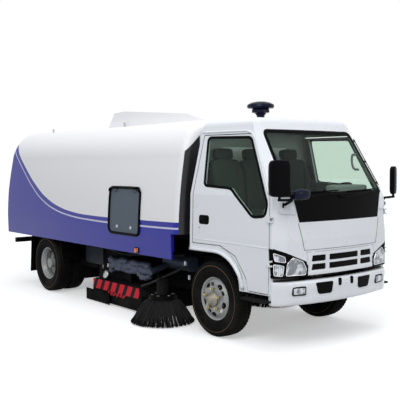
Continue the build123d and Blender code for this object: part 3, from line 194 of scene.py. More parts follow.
# road dust: amount times a fade up to the top height, broken by two noises
def buildDust(net, given):
    vector, _, _, z = net.place()
    fade = net.ramp(z, given["Top"], 0.05)
    cloud = net.noise(vector, 2.6, 5.0, 0.62)
    specks = net.noise(vector, 38.0, 2.0)
    broken = net.times(net.ramp(cloud, 0.34, 0.7), net.ramp(specks, 0.25, 0.6, 0.6, 1.0))
    return {"Mask": net.math("MULTIPLY", net.times(fade, broken), given["Amount"], clamp=True)}


# grain: a bump from a fine noise of the given scale
def buildGrain(net, given):
    height = net.noise(net.place()[0], given["Scale"], 2.0)
    return {"Normal": net.add("Bump", {"Height": height, "Strength": given["Strength"], "Distance": 0.002}).outputs[0]}


# smudge: base roughness plus a slow noise times the spread
def buildSmudge(net, given):
    vector = net.place()[0]
    slow = net.minus(net.noise(vector, 1.9, 4.0, 0.6), 0.5)
    return {"Value": net.math("ADD", given["Base"], net.times(slow, given["Spread"]), clamp=True)}


dustGroup = makeGroup("roadDust", (("Amount", "Float", 0.3), ("Top", "Float", 1.0)), (("Mask", "Float"),), buildDust)
grainGroup = makeGroup("fineGrain", (("Scale", "Float", 200.0), ("Strength", "Float", 0.2)), (("Normal", "Vector"),),
                       buildGrain)
smudgeGroup = makeGroup("smudge", (("Base", "Float", 0.4), ("Spread", "Float", 0.2)), (("Value", "Float"),),
                        buildSmudge)
dustColor = (0.30, 0.27, 0.23)


# a group's node in a net with its inputs set
def useGroup(net, group, **values):
    node = net.add("Group", node_tree=group)
    for name, value in values.items():
        net.put(node.inputs[name], value)
    return node.outputs[0]


# a surface: colour (plain or from a function of the net), dust, grain and smudge over one Principled shader
def surface(name, color, rough=0.4, metal=0.0, coat=0.0, dust=0.0, top=1.0, grain=(200.0, 0.0), spread=0.15, **more):
    material = bpy.data.materials.new(name)
    material.use_nodes = True
    net = Net(material.node_tree)
    shader = material.node_tree.nodes["Principled BSDF"]
    tint = color(net) if callable(color) else color
    if dust:
        mask = useGroup(net, dustGroup, Amount=dust, Top=top)
        tint = net.mix(mask, tint, dustColor)
        net.put(shader.inputs["Roughness"], net.most(useGroup(net, smudgeGroup, Base=rough, Spread=spread),
                                                     net.times(mask, 0.8)))
    else:
        net.put(shader.inputs["Roughness"], useGroup(net, smudgeGroup, Base=rough, Spread=spread))
    net.put(shader.inputs["Base Color"], tint)
    shader.inputs["Metallic"].default_value = metal
    shader.inputs["Coat Weight"].default_value = coat
    shader.inputs["Coat Roughness"].default_value = 0.24
    if grain[1]:
        net.put(shader.inputs["Normal"], useGroup(net, grainGroup, Scale=grain[0], Strength=grain[1]))
    for key, value in more.items():
        net.put(shader.inputs[key], value)
    return material


whitePaint = (0.80, 0.82, 0.86)
bodyWhite = (0.90, 0.89, 0.905)
purplePaint = (0.014, 0.017, 0.320)
lilacPaint = (0.62, 0.62, 0.80)
# livery: heights of the purple field's edge and of the pinstripe, x from the front axle then z
fieldEdge = ((-4.56, 2.06), (-4.261, 1.807), (-3.949, 1.594), (-3.643, 1.410), (-3.305, 1.251), (-2.909, 1.143),
             (-2.508, 1.093), (-2.196, 1.080), (-1.02, 1.086), (-0.28, 1.098))
stripeEdge = ((-4.56, 1.95), (-4.374, 1.808), (-4.043, 1.577), (-3.757, 1.390), (-3.415, 1.214), (-3.046, 1.106),
              (-2.634, 1.049), (-2.253, 1.028), (-1.02, 1.024), (-0.28, 1.037))


# a height that follows a curve of x, as a float curve node
def heightCurve(net, x, points):
    curve = net.add("FloatCurve")
    line = curve.mapping.curves[0]
    low, high, floor, span = points[0][0], points[-1][0], 0.9, 1.5
    while len(line.points) < len(points):
        line.points.new(0.5, 0.5)
    for point, (px, pz) in zip(line.points, points):
        point.location = ((px - low) / (high - low), (pz - floor) / span)
    curve.mapping.update()
    net.put(curve.inputs["Value"], net.math("DIVIDE", net.minus(x, low), high - low))
    return net.plus(net.times(curve.outputs[0], span), floor)


# livery colour: purple under the field's edge, a lilac band along the pinstripe, white above
def liveryColor(net):
    _, x, y, z = net.place()
    along = net.minus(x, axleX)
    edge = heightCurve(net, along, fieldEdge)
    stripe = heightCurve(net, along, stripeEdge)
    field = net.ramp(net.minus(edge, z), -0.001, 0.001)
    band = net.ramp(net.size(net.minus(z, stripe)), 0.010, 0.0085)
    side = net.ramp(net.size(y), 0.55, 0.56)
    painted = net.mix(field, bodyWhite, purplePaint)
    return net.mix(net.times(band, side), painted, lilacPaint)


dull = {"Specular IOR Level": 0.03}  # black things mirror little of the white room
paintWhite = surface("cabPaint", whitePaint, 0.28, coat=0.6, dust=0.07, top=0.8, spread=0.10)
paintTail = surface("tailPaint", purplePaint, 0.34, coat=0.10, dust=0.06, top=0.9, spread=0.10, **dull)
paintGrey = surface("panelPaint", (0.115, 0.14, 0.175), 0.40, coat=0.1, dust=0.06, **dull)
frameBlack = surface("framePaint", (0.008, 0.008, 0.009), 0.60, dust=0.06, top=0.8, grain=(90.0, 0.25), **dull)
castIron = surface("castIron", (0.012, 0.012, 0.013), 0.65, dust=0.10, top=0.8, grain=(60.0, 0.5), **dull)
wheelSilver = surface("wheelPaint", (0.36, 0.37, 0.37), 0.45, metal=0.25, dust=0.30, top=1.3, grain=(120.0, 0.10),
                      **dull)
tyreRubber = surface("tyreRubber", (0.005, 0.005, 0.0055), 0.80, dust=0.06, top=0.9, grain=(70.0, 0.35), **dull)
trimBlack = surface("trimBlack", (0.0025, 0.0025, 0.003), 0.42, dust=0.015, grain=(240.0, 0.20), **dull)
grilleBlack = surface("grilleBlack", (0.0022, 0.0022, 0.0026), 0.45, dust=0.015, **dull)
domeBlack = surface("domeBlack", (0.006, 0.008, 0.024), 0.22, coat=0.15, dust=0.02, **dull)
dashPlastic = surface("dashPlastic", (0.20, 0.21, 0.21), 0.6, grain=(260.0, 0.3))
bareSteel = surface("bareSteel", (0.42, 0.43, 0.45), 0.36, metal=0.9, dust=0.2, grain=(150.0, 0.15))
silverMetal = surface("silverMetal", (0.45, 0.48, 0.53), 0.38, metal=0.8, dust=0.2)
pipeMetal = surface("pipeMetal", (0.045, 0.058, 0.09), 0.42, metal=0.4, dust=0.15, top=0.8, **dull)
chromePlate = surface("chrome", (0.80, 0.81, 0.83), 0.08, metal=1.0, spread=0.04)
redPaint = surface("redPaint", (0.62, 0.025, 0.05), 0.42, dust=0.1)
amberLens = surface("amberLens", (0.85, 0.22, 0.02), 0.15, coat=0.5, spread=0.03)
redLens = surface("redLens", (0.50, 0.01, 0.015), 0.15, coat=0.5, spread=0.03)
nutMetal = surface("nutMetal", (0.50, 0.42, 0.22), 0.38, metal=0.9)
tankPaint = surface("tankPaint", (0.020, 0.028, 0.042), 0.45, dust=0.2, **dull)
hoseRubber = surface("hoseRubber", (0.028, 0.028, 0.032), 0.6, dust=0.25, **dull)


# window glass: a tinted clear coat over what lies behind, by a fixed mix and a Fresnel gloss
def makeGlass(name, tint, clear):
    material = bpy.data.materials.new(name)
    material.use_nodes = True
    net = Net(material.node_tree)
    net.nodes.clear()
    through = net.add("BsdfTransparent", {"Color": tint})
    body = net.add("BsdfPrincipled", {"Base Color": (0.012, 0.018, 0.016), "Roughness": 0.04})
    gloss = net.add("BsdfGlossy", {"Roughness": 0.02})
    fresnel = net.add("Fresnel", {"IOR": 1.5}).outputs[0]
    back = net.add("NewGeometry").outputs["Backfacing"]
    pane = net.add("MixShader", {0: clear, 1: body.outputs[0], 2: through.outputs[0]})
    shine = net.times(fresnel, 0.35, net.minus(1.0, back))
    coated = net.add("MixShader", {0: shine, 1: pane.outputs[0], 2: gloss.outputs[0]})
    net.add("OutputMaterial", {0: coated.outputs[0]})
    return material


windowGlass = makeGlass("windowGlass", (0.855, 0.915, 0.875), 0.99)


# 1 where a surface looks back at a middle point, so inside a hollow form: from the object's own normal and place
def insideMask(net, middle):
    coord = net.add("TexCoord").outputs
    away = net.add("VectorMath", {0: coord["Object"], 1: middle}, operation="SUBTRACT").outputs[0]
    dot = net.add("VectorMath", {0: away, 1: coord["Normal"]}, operation="DOT_PRODUCT").outputs["Value"]
    return net.below(dot, 0.0)


# cab colour: white outside, pale grey inside, black trim round the screen's foot, and near-black painted shade on faces
# looking down below the floor, behind the bumper and inside the front wheel arches
def cabColor(net):
    _, x, y, z = net.place()
    half = net.size(y)
    inner = net.times(insideMask(net, (axleX + 0.25, 0, 1.45)), net.above(z, 0.62))
    # painted shade: faces looking down below the floor, the lower front behind the bumper and the wheel arches are
    # painted near black
    shadeBelow = net.times(net.below(net.normal()[2], -0.35), net.below(z, 1.0))
    step = net.times(net.above(x, axleX + 0.775), net.below(z, 0.702), net.below(half, 0.765))
    screenFoot = net.times(net.below(half, 0.62), net.below(net.size(net.minus(z, 1.397)), 0.012),
                           net.above(x, axleX + 0.80))
    archShade = net.times(net.below(half, 0.79), net.below(z, 0.92), net.below(x, axleX + 0.70))
    painted = net.mix(inner, whitePaint, (0.36, 0.38, 0.37))
    return net.mix(net.most(shadeBelow, step, screenFoot, archShade), painted, (0.015, 0.015, 0.017))


# door colour: white outside, grey trim inside
def doorColor(side):
    def color(net):
        inner = net.below(net.times(net.normal()[1], float(side)), -0.3)
        return net.mix(inner, whitePaint, (0.22, 0.23, 0.23))
    return color


# body colour: livery outside, dull grey inside; near-black painted shade on faces looking down and on low inner parts,
# and a dark front wall deepened by painted shade of the gap behind the cab
def bodyColor(net):
    _, x, y, z = net.place()
    half = net.size(y)
    bay = net.times(insideMask(net, (axleX - 2.6, 0, 1.35)), net.above(z, 0.70))
    # painted shade: faces looking down under the body
    shadeBelow = net.times(net.below(net.normal()[2], -0.5), net.below(z, 1.1))
    pane = net.times(net.above(z, 1.30), net.below(half, 0.66))
    # front wall: its own dark colour plus painted shade of the gap behind the cab, except the upper middle, which keeps
    # its livery
    face = net.times(net.above(x, axleX - 0.402), net.minus(1.0, pane))
    # painted shade: the low inner parts of the body
    lowShade = net.times(net.below(half, 0.90), net.below(z, 0.83))
    dark = net.times(net.most(shadeBelow, face, lowShade), net.below(net.plus(z, net.times(half, 0.95)), 2.60))
    return net.mix(dark, net.mix(bay, liveryColor(net), (0.13, 0.13, 0.13)), (0.014, 0.014, 0.016))


cabPaint = surface("cabShellPaint", cabColor, 0.28, coat=0.5, dust=0.08, top=0.8, spread=0.10)
bodyPaint = surface("bodyShellPaint", bodyColor, 0.34, coat=0.10, dust=0.05, top=0.9, spread=0.10,
                    **{"Specular IOR Level": 0.30})
doorPaint = {side: surface("doorPaint" + str(side), doorColor(side), 0.28, coat=0.5, dust=0.06, top=0.8, spread=0.10)
             for side in (1, -1)}

nodeMaterials = (
    (frameBlack, "frame underrun_bar step_plates suction_nozzle suction_duct arm_brackets"),
    (frameBlack, "broom_arm_left broom_arm_right"),
    (castIron, "front_axle rear_axle knuckle_left knuckle_right springs engine aux_engine"),
    (wheelSilver, "rim_front_left rim_front_right rim_rear_left rim_rear_right"),
    (tyreRubber, "tyre_front_left tyre_front_right tyre_rear_left tyre_rear_right"),
    (trimBlack, "garnish mirrors steering_wheel seat_bases seats rear_mudguards broom_left broom_right"),
    (windowGlass, "cab_glass door_glass_left door_glass_right"), (paintWhite, "bumper grille_panel"),
    (cabPaint, "cab_shell"), (doorPaint[1], "door_left"), (doorPaint[-1], "door_right"), (bodyPaint, "body_shell"),
    (paintTail, "tail_door"), (paintGrey, "service_panel"), (domeBlack, "air_cleaner"), (tankPaint, "side_tanks"),
    (pipeMetal, "exhaust"), (grilleBlack, "headlamps"), (dashPlastic, "dashboard"),
)
for material, names in nodeMaterials:
    for nodeName in names.split():
        meshData = nodes[nodeName].data
        meshData.materials.clear()
        meshData.materials.append(material)
print("materials", len(bpy.data.materials))


# mesh from vertex and face arrays, smooth or flat, with a material
def addMesh(name, points, faces, material, smooth=True):
    mesh = bpy.data.meshes.new(name)
    points = np.asarray(points, dtype=np.float32)
    faces = np.asarray(faces, dtype=np.int32)
    mesh.vertices.add(len(points))
    mesh.vertices.foreach_set("co", points.ravel())
    mesh.loops.add(faces.size)
    mesh.loops.foreach_set("vertex_index", faces.ravel())
    mesh.polygons.add(len(faces))
    mesh.polygons.foreach_set("loop_start", np.arange(0, faces.size, faces.shape[1], dtype=np.int32))
    mesh.update(calc_edges=True)
    mesh.validate()
    mesh.polygons.foreach_set("use_smooth", np.full(len(mesh.polygons), smooth))
    mesh.materials.append(material)
    thing = bpy.data.objects.new(name, mesh)
    scene.collection.objects.link(thing)
    return thing


def vec(*values):
    return np.array(values, dtype=float)


# angles of a full turn, its end left out
def circle(count):
    return np.linspace(0, 2 * math.pi, count, endpoint=False)


# a wave made blunt (power under 1), keeping its sign
def blunt(wave, power):
    return np.sign(wave) * np.abs(wave) ** power


# a direction square to an axis
def sideways(axis):
    return np.cross(axis, (0.0, 0.0, 1.0) if abs(axis[2]) < 0.9 else (1.0, 0.0, 0.0))


# rings with both ends drawn together almost to a point
def capped(rows):
    first, last = rows[0].mean(0), rows[-1].mean(0)
    return np.concatenate(([first + (rows[0] - first) * 1e-3], rows, [last + (rows[-1] - last) * 1e-3]))


# quads between the rows and columns of a grid, closed or open each way
def gridFaces(rows, columns, closeRows=False, closeColumns=False, start=0):
    lastRow = rows if closeRows else rows - 1
    lastColumn = columns if closeColumns else columns - 1
    i, j = np.meshgrid(np.arange(lastRow), np.arange(lastColumn), indexing="ij")
    i, j = i.ravel(), j.ravel()
    iNext, jNext = (i + 1) % rows, (j + 1) % columns
    quads = np.stack((i * columns + j, i * columns + jNext, iNext * columns + jNext, iNext * columns + j), axis=1)
    return quads + start


# a collector that joins many small shapes into one mesh of quads
class Parts:
    def __init__(self):
        self.points = []
        self.faces = []
        self.count = 0

    def grid(self, rows, closeRows=False, closeColumns=False):
        array = np.array(rows)
        rows, columns = array.shape[:2]
        self.points.append(array.reshape(-1, 3))
        self.faces.append(gridFaces(rows, columns, closeRows, closeColumns, self.count))
        self.count += rows * columns
        return self

    # a box with its middle and sizes, edges softened by a small inset ring
    def block(self, middle, size, soft=0.004):
        half = np.array(size) / 2
        soft = min(soft, *(half * 0.6))
        inset, edge = 1 - soft / half[0], 1.0 - soft / half[2]
        profile = ((0, -1.0), (inset, -1.0), (1.0, -edge), (1.0, edge), (inset, 1.0), (0, 1.0))
        rows = []
        for reach, level in profile:
            row = []
            for quarter, step in np.ndindex(4, 3):
                sx, sy = ((1, -1), (1, 1), (-1, 1), (-1, -1))[quarter]
                cut = soft * (0.0, 0.35, 1.0)[step]
                other = soft * (1.0, 0.35, 0.0)[step]
                if quarter % 2:
                    cut, other = other, cut
                row.append((sx * (half[0] - cut) * reach, sy * (half[1] - other) * reach, level * half[2]))
            rows.append(row)
        return self.grid(np.array(rows) + np.array(middle), closeColumns=True)

    # a round bar along a path of points, with a radius for each or one for all
    def tube(self, path, radius, sides=12, closed=False):
        path = np.array(path, dtype=float)
        radii = np.full(len(path), radius) if np.isscalar(radius) else np.array(radius, dtype=float)
        if closed:
            tangent = np.roll(path, -1, 0) - np.roll(path, 1, 0)
        else:
            tangent = np.gradient(path, axis=0)
        tangent /= np.linalg.norm(tangent, axis=1)[:, None]
        across = sideways(tangent[0])
        rows = []
        angle = circle(sides)
        for point, along, reach in zip(path, tangent, radii):
            across = across - along * np.dot(across, along)
            across /= np.linalg.norm(across)
            other = np.cross(along, across)
            rows.append(point + reach * (np.cos(angle)[:, None] * across + np.sin(angle)[:, None] * other))
        rows = np.array(rows)
        return self.grid(rows if closed else capped(rows), closeRows=closed, closeColumns=True)

    # a turned shape: (radius, distance) pairs about an axis from a point
    def turned(self, profile, origin, axis, sides=32):
        axis = np.array(axis, dtype=float) / np.linalg.norm(axis)
        across = sideways(axis)
        across /= np.linalg.norm(across)
        other = np.cross(axis, across)
        angle = circle(sides)
        ring = np.cos(angle)[:, None] * across + np.sin(angle)[:, None] * other
        rows = np.array([np.array(origin) + axis * reach + ring * radius for radius, reach in profile])
        return self.grid(rows, closeColumns=True)

    def build(self, name, material, body, smooth=True):
        thing = addMesh(name, np.concatenate(self.points), np.concatenate(self.faces), material, smooth)
        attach(thing, body)
        return thing


# a narrow bevel on edges sharper than the angle
def soften(thing, width, angle):
    bevel = thing.modifiers.new("softEdge", "BEVEL")
    bevel.width = width
    bevel.segments = 3
    bevel.limit_method = "ANGLE"
    bevel.angle_limit = math.radians(angle)


# a smooth curve through points (Catmull-Rom), with steps between each two
def smoothPath(points, steps=8):
    points = np.array(points, dtype=float)
    ring = np.concatenate(([2 * points[0] - points[1]], points, [2 * points[-1] - points[-2]]))
    rows = []
    for index in range(1, len(ring) - 2):
        a, b, c, d = ring[index - 1], ring[index], ring[index + 1], ring[index + 2]
        for t in np.arange(steps) / steps:
            square, cube = 2 * a - 5 * b + 4 * c - d, 3 * b - a - 3 * c + d
            rows.append(0.5 * (2 * b + (c - a) * t + square * t**2 + cube * t**3))
    return np.array(rows + [points[-1]])


# the faces of named nodes, ready to be met by rays
def skin(*names):
    points, faces = [], []
    for name in names:
        thing = nodes[name]
        start = len(points)
        points.extend(thing.matrix_world @ vertex.co for vertex in thing.data.vertices)
        faces.extend([start + index for index in polygon.vertices] for polygon in thing.data.polygons)
    return BVHTree.FromPolygons(points, faces)


# where a ray first meets them, drawn back along the ray by lift; None if it misses
def hit(tree, origin, direction, lift=0.0):
    direction = Vector(direction).normalized()
    point = tree.ray_cast(Vector(origin), direction)[0]
    return None if point is None else np.array(point - direction * lift)


# tyres: sizes in metres; the section runs up one side as (half width, radius)
tyre = {"radius": 0.372, "grooveDepth": 0.010, "steps": 360, "blocks": 60}
tyreSection = ((0.072, 0.209), (0.080, 0.216), (0.087, 0.232), (0.0925, 0.248), (0.0925, 0.252), (0.0955, 0.254),
               (0.0975, 0.275), (0.0975, 0.296), (0.0960, 0.314), (0.0975, 0.317), (0.0970, 0.326), (0.0935, 0.330),
               (0.0905, 0.344), (0.0880, 0.354), (0.0835, 0.3620), (0.0790, 0.3665))


# tread relief: zigzag grooves along the tread and short grooves across each shoulder, as a depth from 0 to 1
def treadDepth(turn, across):
    zigzag = 0.0045 * (np.abs(((turn * tyre["blocks"] / (2 * math.pi)) % 1) * 2 - 1) * 2 - 1)
    depth = np.zeros(np.broadcast(turn, across).shape)
    for middle in (-0.044, 0.0, 0.044):
        depth = np.maximum(depth, np.clip(1.6 - np.abs(across - middle - zigzag) / 0.0032, 0, 1))
    slot = np.abs(((turn * tyre["blocks"] / (2 * math.pi) + 0.25) % 1) - 0.5)
    return np.maximum(depth, np.clip(1.5 - slot / 0.10, 0, 1) * (np.abs(across) > 0.060) * 0.9)


def makeTyre(name, centre, body):
    half = np.array(tyreSection)
    crown = np.array([(y, tyre["radius"] - 0.0045 * (y / 0.078) ** 2) for y in np.linspace(0.0765, -0.0765, 35)])
    section = np.concatenate((half, crown, half[::-1] * (-1, 1)))
    turn = circle(tyre["steps"])[:, None]
    across, radius = section[:, 0][None], section[:, 1][None]
    radius = radius - tyre["grooveDepth"] * treadDepth(turn, across) * (radius > 0.358)
    array = np.stack((centre[0] + radius * np.cos(turn), centre[1] + across + 0 * turn,
                      centre[2] + radius * np.sin(turn)), axis=2)
    return Parts().grid(array, closeRows=True).build(name, tyreMaterials[centre[0] > 0], body)


# sidewall colour: a thin tan ring at one radius from the axle, over black rubber
def tyreColor(axle):
    def color(net):
        _, x, _, z = net.place()
        radius = net.math("SQRT", net.plus(*(net.math("POWER", net.minus(place, middle), 2.0)
                                             for place, middle in ((x, axle), (z, tyre["radius"])))))
        ring = net.ramp(net.size(net.minus(radius, 0.3215)), 0.0032, 0.0022)
        return net.mix(net.times(ring, 0.5), (0.006, 0.006, 0.0065), (0.30, 0.20, 0.11))
    return color


tyreMaterials = {True: surface("tyreFront", tyreColor(axleX), 0.78, dust=0.07, top=1.2, grain=(70.0, 0.35), **dull),
                 False: surface("tyreRear", tyreColor(rearX), 0.78, dust=0.06, top=1.2, grain=(70.0, 0.35), **dull)}
wheelSides = {"left": 1, "right": -1}
for sideName, side in wheelSides.items():
    front = makeTyre("treadFront_" + sideName, (axleX, side * 0.708, tyre["radius"]), "wheel_front_" + sideName)
    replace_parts(front, "tyre_front_" + sideName)
    outer = makeTyre("treadRearOuter_" + sideName, (rearX, side * 0.815, tyre["radius"]), "wheel_rear_" + sideName)
    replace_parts(outer, "tyre_rear_" + sideName)
    makeTyre("treadRearInner_" + sideName, (rearX, side * 0.597, tyre["radius"]), "wheel_rear_" + sideName)
print("tyres", tyre["steps"])


# cab form: height, rear wall, half width there, front corner, quarter point and nose, each (x, y) from the axle
cabSections = ((0.510, -0.300, 0.850, 0.806, 0.800, 0.868, 0.716, 0.945),
               (1.000, -0.300, 0.850, 0.806, 0.800, 0.888, 0.690, 0.955),
               (1.385, -0.296, 0.842, 0.786, 0.776, 0.876, 0.640, 0.925),
               (1.985, -0.254, 0.724, 0.452, 0.676, 0.492, 0.606, 0.524),
               (2.114, -0.244, 0.696, 0.398, 0.650, 0.430, 0.590, 0.458))


def cabAt(z):
    table = np.array(cabSections)
    return [np.interp(z, table[:, 0], table[:, column]) for column in range(1, 8)]


# station of the cab's face at a side place and height: an arc across the middle, a chamfer to the corner
def faceX(y, z):
    _, _, cornerX, cornerY, quarterX, quarterY, nose = cabAt(z)
    half = abs(y)
    if half > quarterY:
        return axleX + quarterX + (cornerX - quarterX) * (half - quarterY) / (cornerY - quarterY)
    sag = max(nose - quarterX, 1e-4)
    radius = (quarterY**2 + sag**2) / (2 * sag)
    return axleX + nose - radius + math.sqrt(radius**2 - half**2)


# half width of the cab's side at a station from the axle and a height
def sideY(x, z):
    rear, half, cornerX, cornerY = cabAt(z)[:4]
    return half + (cornerY - half) * (x - rear) / (cornerX - rear)


# the bumper's plan line: an arc across its middle, straight on from there
bumperLine = {"quarter": 0.905, "half": 0.600, "nose": 0.975}


def bumperX(y):
    half, sag = bumperLine["half"], bumperLine["nose"] - bumperLine["quarter"]
    radius = (half**2 + sag**2) / (2 * sag)
    return axleX + bumperLine["nose"] - radius + math.sqrt(radius**2 - min(abs(y), half) ** 2)


# places on the cab's face, the bumper and the cab's side, lifted off it, mirrored by side
def onFace(side):
    return lambda y, z, lift: (faceX(y, z) + lift, side * y, z)


def onBumper(side):
    return lambda y, z, lift: (bumperX(y) + lift, side * y, z)


def onSide(side):
    return lambda x, z, lift: (axleX + x, side * (sideY(x, z) + lift), z)


# a strip along points of such a place, raised by lift, with rounded edges and its feet sunk in
def strip(parts, points, width, place, lift=0.004, closed=False):
    path = np.array(points, dtype=float)
    along = np.roll(path, -1, 0) - np.roll(path, 1, 0) if closed else np.gradient(path, axis=0)
    along /= np.linalg.norm(along, axis=1)[:, None]
    across = np.stack((-along[:, 1], along[:, 0]), axis=1)
    rows = []
    for offset, height in ((-0.5, -0.002), (-0.46, lift * 0.7), (-0.3, lift), (0.3, lift), (0.46, lift * 0.7),
                           (0.5, -0.002)):
        rows.append([place(*spot, height) for spot in path + across * offset * width])
    parts.grid(np.array(rows).transpose(1, 0, 2), closeRows=closed)


# a line through corner points with each straight cut into steps and the corners rounded by radius
def roundedLine(points, radius=0.03, spacing=0.02, closed=True):
    points = [np.array(p, dtype=float) for p in points]
    out = []
    count = len(points)
    for index in range(count):
        before, here, after = points[index - 1], points[index], points[(index + 1) % count]
        if not closed and index in (0, count - 1):
            out.append(here)
            continue
        back, ahead = before - here, after - here
        cut = min(radius, 0.45 * np.linalg.norm(back), 0.45 * np.linalg.norm(ahead))
        start, end = here + back / np.linalg.norm(back) * cut, here + ahead / np.linalg.norm(ahead) * cut
        for t in np.linspace(0, 1, 7):
            out.append((1 - t) ** 2 * start + 2 * t * (1 - t) * here + t * t * end)
    if closed:
        out.append(out[0])
    full = []
    for first, last in zip(out, out[1:]):
        steps = max(1, int(np.linalg.norm(last - first) / spacing))
        full.extend(first + (last - first) * t for t in np.arange(steps) / steps)
    if not closed:
        full.append(out[-1])
    return np.array(full)


# outlines on the cab, from the axle: a door window and the windscreen
windowEdge = ((-0.112, 1.471), (0.262, 1.451), (0.560, 1.196), (0.716, 1.212), (0.738, 1.330), (0.430, 1.925),
              (-0.150, 1.938))
screenEdge = ((0.640, 1.402), (0.596, 1.984), (-0.596, 1.984), (-0.640, 1.402))


# rubber round the glass
def makeSeals():
    screen = Parts()
    strip(screen, roundedLine(screenEdge, 0.05), 0.034, onFace(1), 0.005, closed=True)
    screen.build("screenSeal", trimBlack, "cab")
    for sideName, side in wheelSides.items():
        seal = Parts()
        strip(seal, roundedLine(windowEdge, 0.045), 0.026, onSide(side), closed=True)
        seal.build("windowSeal_" + sideName, trimBlack, "door_" + sideName)


makeSeals()
print("cab glass seals")


# a filled patch over an outline: rings from the middle out, bulged, its edge turned in
def patch(parts, outline, place, lift=0.003, bulge=0.006, rim=0.010):
    outline = np.array(outline, dtype=float)
    middle = outline.mean(0)
    rows = []
    for t in np.concatenate(([0.001], np.linspace(0.25, 1, 6))):
        rows.append([place(*(middle + (point - middle) * t), lift + bulge * (1 - t * t)) for point in outline])
    rows.append([place(*point, -rim) for point in outline])
    parts.grid(rows, closeColumns=True)


# a flat shape laid on a panel
def lay(parts, corners, radius, place, lift=0.0012, rim=0.010):
    patch(parts, roundedLine(corners, radius), place, lift, 0.0, rim=rim)


# lamp clusters: two small lenses at the corner and a large pointed one, in the black housing
lampLenses = (((0.790, 0.895), (0.778, 0.822), (0.700, 0.808), (0.706, 0.858)),
              ((0.788, 0.795), (0.784, 0.692), (0.722, 0.688), (0.712, 0.778)),
              ((0.694, 0.690), (0.684, 0.795), (0.628, 0.848), (0.515, 0.806), (0.478, 0.742), (0.486, 0.686)))
# outlines on the front, as (y, z): fog lamp, dark openings with their corner radius, black lamp housing
fogLens = ((0.500, 0.516), (0.622, 0.516), (0.622, 0.572), (0.500, 0.572))
inlets = ((((0.488, 0.503), (0.634, 0.506), (0.634, 0.584), (0.488, 0.586)), 0.02),
          (((0.190, 0.500), (0.345, 0.500), (0.385, 0.606), (0.170, 0.606)), 0.025),
          (((0.062, 0.555), (0.104, 0.555), (0.104, 0.625), (0.062, 0.625)), 0.02))
lampShell = ((0.815, 0.935), (0.800, 0.668), (0.462, 0.668), (0.452, 0.770), (0.640, 0.870))
slots = {"heights": (0.826, 0.748), "half": 0.027, "middle": (-0.198, 0.198, 0.198, -0.198),
         "outer": (0.255, 0.415, 0.405, 0.255)}


# lamp glass: a reflector with upright ribs under a clear coat, its bright and dark patches a painted reflection
def lampColor(net):
    _, _, y, z = net.place()
    rib = net.math("SINE", net.times(y, 420.0))
    # painted reflection: a slow noise lays bright and dark patches over the reflector
    fade = net.ramp(net.noise(net.place()[0], 17.0, 1.0), 0.40, 0.60)
    paintedReflection = net.math("ADD", net.times(rib, 0.16), net.plus(0.02, net.times(fade, 0.62)), clamp=True)
    return net.mix(paintedReflection, (0.10, 0.11, 0.13), (0.80, 0.83, 0.87))


lampGlass = surface("lampGlass", lampColor, 0.12, metal=0.35, coat=1.0, spread=0.05)


def slotCorners(ends, z):
    half = slots["half"]
    return tuple(zip(ends, (z - half, z - half, z + half, z + half)))


def makeLamps():
    lenses, bezels, fog, dark, grille, sill, housing = (Parts() for _ in range(7))
    for side in (1, -1):
        for lens in lampLenses:
            line = roundedLine(lens, 0.014, 0.012)
            patch(lenses, line, onFace(side), 0.0015, 0.005)
            bezels.tube([onFace(side)(y, z, 0.003) for y, z in line], 0.003, 6, closed=True)
        patch(fog, roundedLine(fogLens, 0.008, 0.02), onBumper(side), 0.004, 0.004, rim=0.006)
        for corners, radius in inlets:
            lay(dark, corners, radius, onBumper(side))
        for z in slots["heights"]:
            lay(grille, slotCorners(slots["outer"], z), 0.006, onFace(side))
        lay(housing, lampShell, 0.01, onFace(side), 0.0008)
    for z in slots["heights"]:
        lay(grille, slotCorners(slots["middle"], z), 0.006, onFace(1))
    strip(sill, roundedLine(((-0.455, 0.694), (0.455, 0.694)), closed=False), 0.038, onFace(1), 0.002)
    lenses.build("headLenses", lampGlass, "cab")
    bezels.build("lampBezels", chromePlate, "cab")
    fog.build("fogLamps", lampGlass, "chassis")
    dark.build("bumperInlets", grilleBlack, "chassis")
    grille.build("grilleSlots", grilleBlack, "cab")
    sill.build("grilleSill", paintWhite, "cab")
    housing.build("lampHousings", trimBlack, "cab")


makeLamps()


# door outlines, as (x, z): the crease at the belt, the handle's recess; the handle also has its lift
beltLine = ((-0.25, 0.948), (0.30, 0.941), (0.766, 0.930))
handleRecess = ((-0.165, 1.095), (-0.020, 1.095), (-0.020, 1.185), (-0.165, 1.185))
handleBar = ((-0.150, -0.15, 1.150, 0.004), (-0.125, -0.10, 1.152, 0.016), (-0.060, -0.10, 1.152, 0.016),
             (-0.035, -0.03, 1.150, 0.004))


# door handles in dark recesses, lock barrels and the crease
def makeHandles():
    for sideName, side in wheelSides.items():
        recess, handle, lock = Parts(), Parts(), Parts()
        lay(recess, handleRecess, 0.03, onSide(side), 0.0015, rim=0.004)
        bar = [(axleX + x, side * (sideY(at, 1.15) + lift), z) for x, at, z, lift in handleBar]
        handle.tube(smoothPath(bar, 5), 0.009, 10)
        y = sideY(-0.16, 1.06)
        lock.turned(((0.0001, 0.005), (0.009, 0.005), (0.010, 0.003), (0.010, -0.004)),
                    (axleX - 0.158, side * y, 1.062), (0, side, 0), 16)
        recess.build("handleRecess_" + sideName, trimBlack, "door_" + sideName)
        handle.build("handle_" + sideName, trimBlack, "door_" + sideName)
        lock.build("lock_" + sideName, bareSteel, "door_" + sideName)
        belt = Parts()
        strip(belt, roundedLine(beltLine, closed=False), 0.012, onSide(side), 0.0035)
        belt.build("beltCrease_" + sideName, paintWhite, "door_" + sideName)


makeHandles()


# wiper pivots and tips and the aerial's clips on the face; a grab handle's line from the axle
wipers = (((-0.62, 1.368), (-0.13, 1.412)), ((-0.03, 1.372), (0.50, 1.412)))
aerialClips = (0.05, 0.5, 0.95)
grabLine = ((0.625, 0.560, 1.765), (0.590, 0.548, 1.760), (0.585, 0.548, 1.690), (0.605, 0.555, 1.625),
            (0.655, 0.568, 1.615))


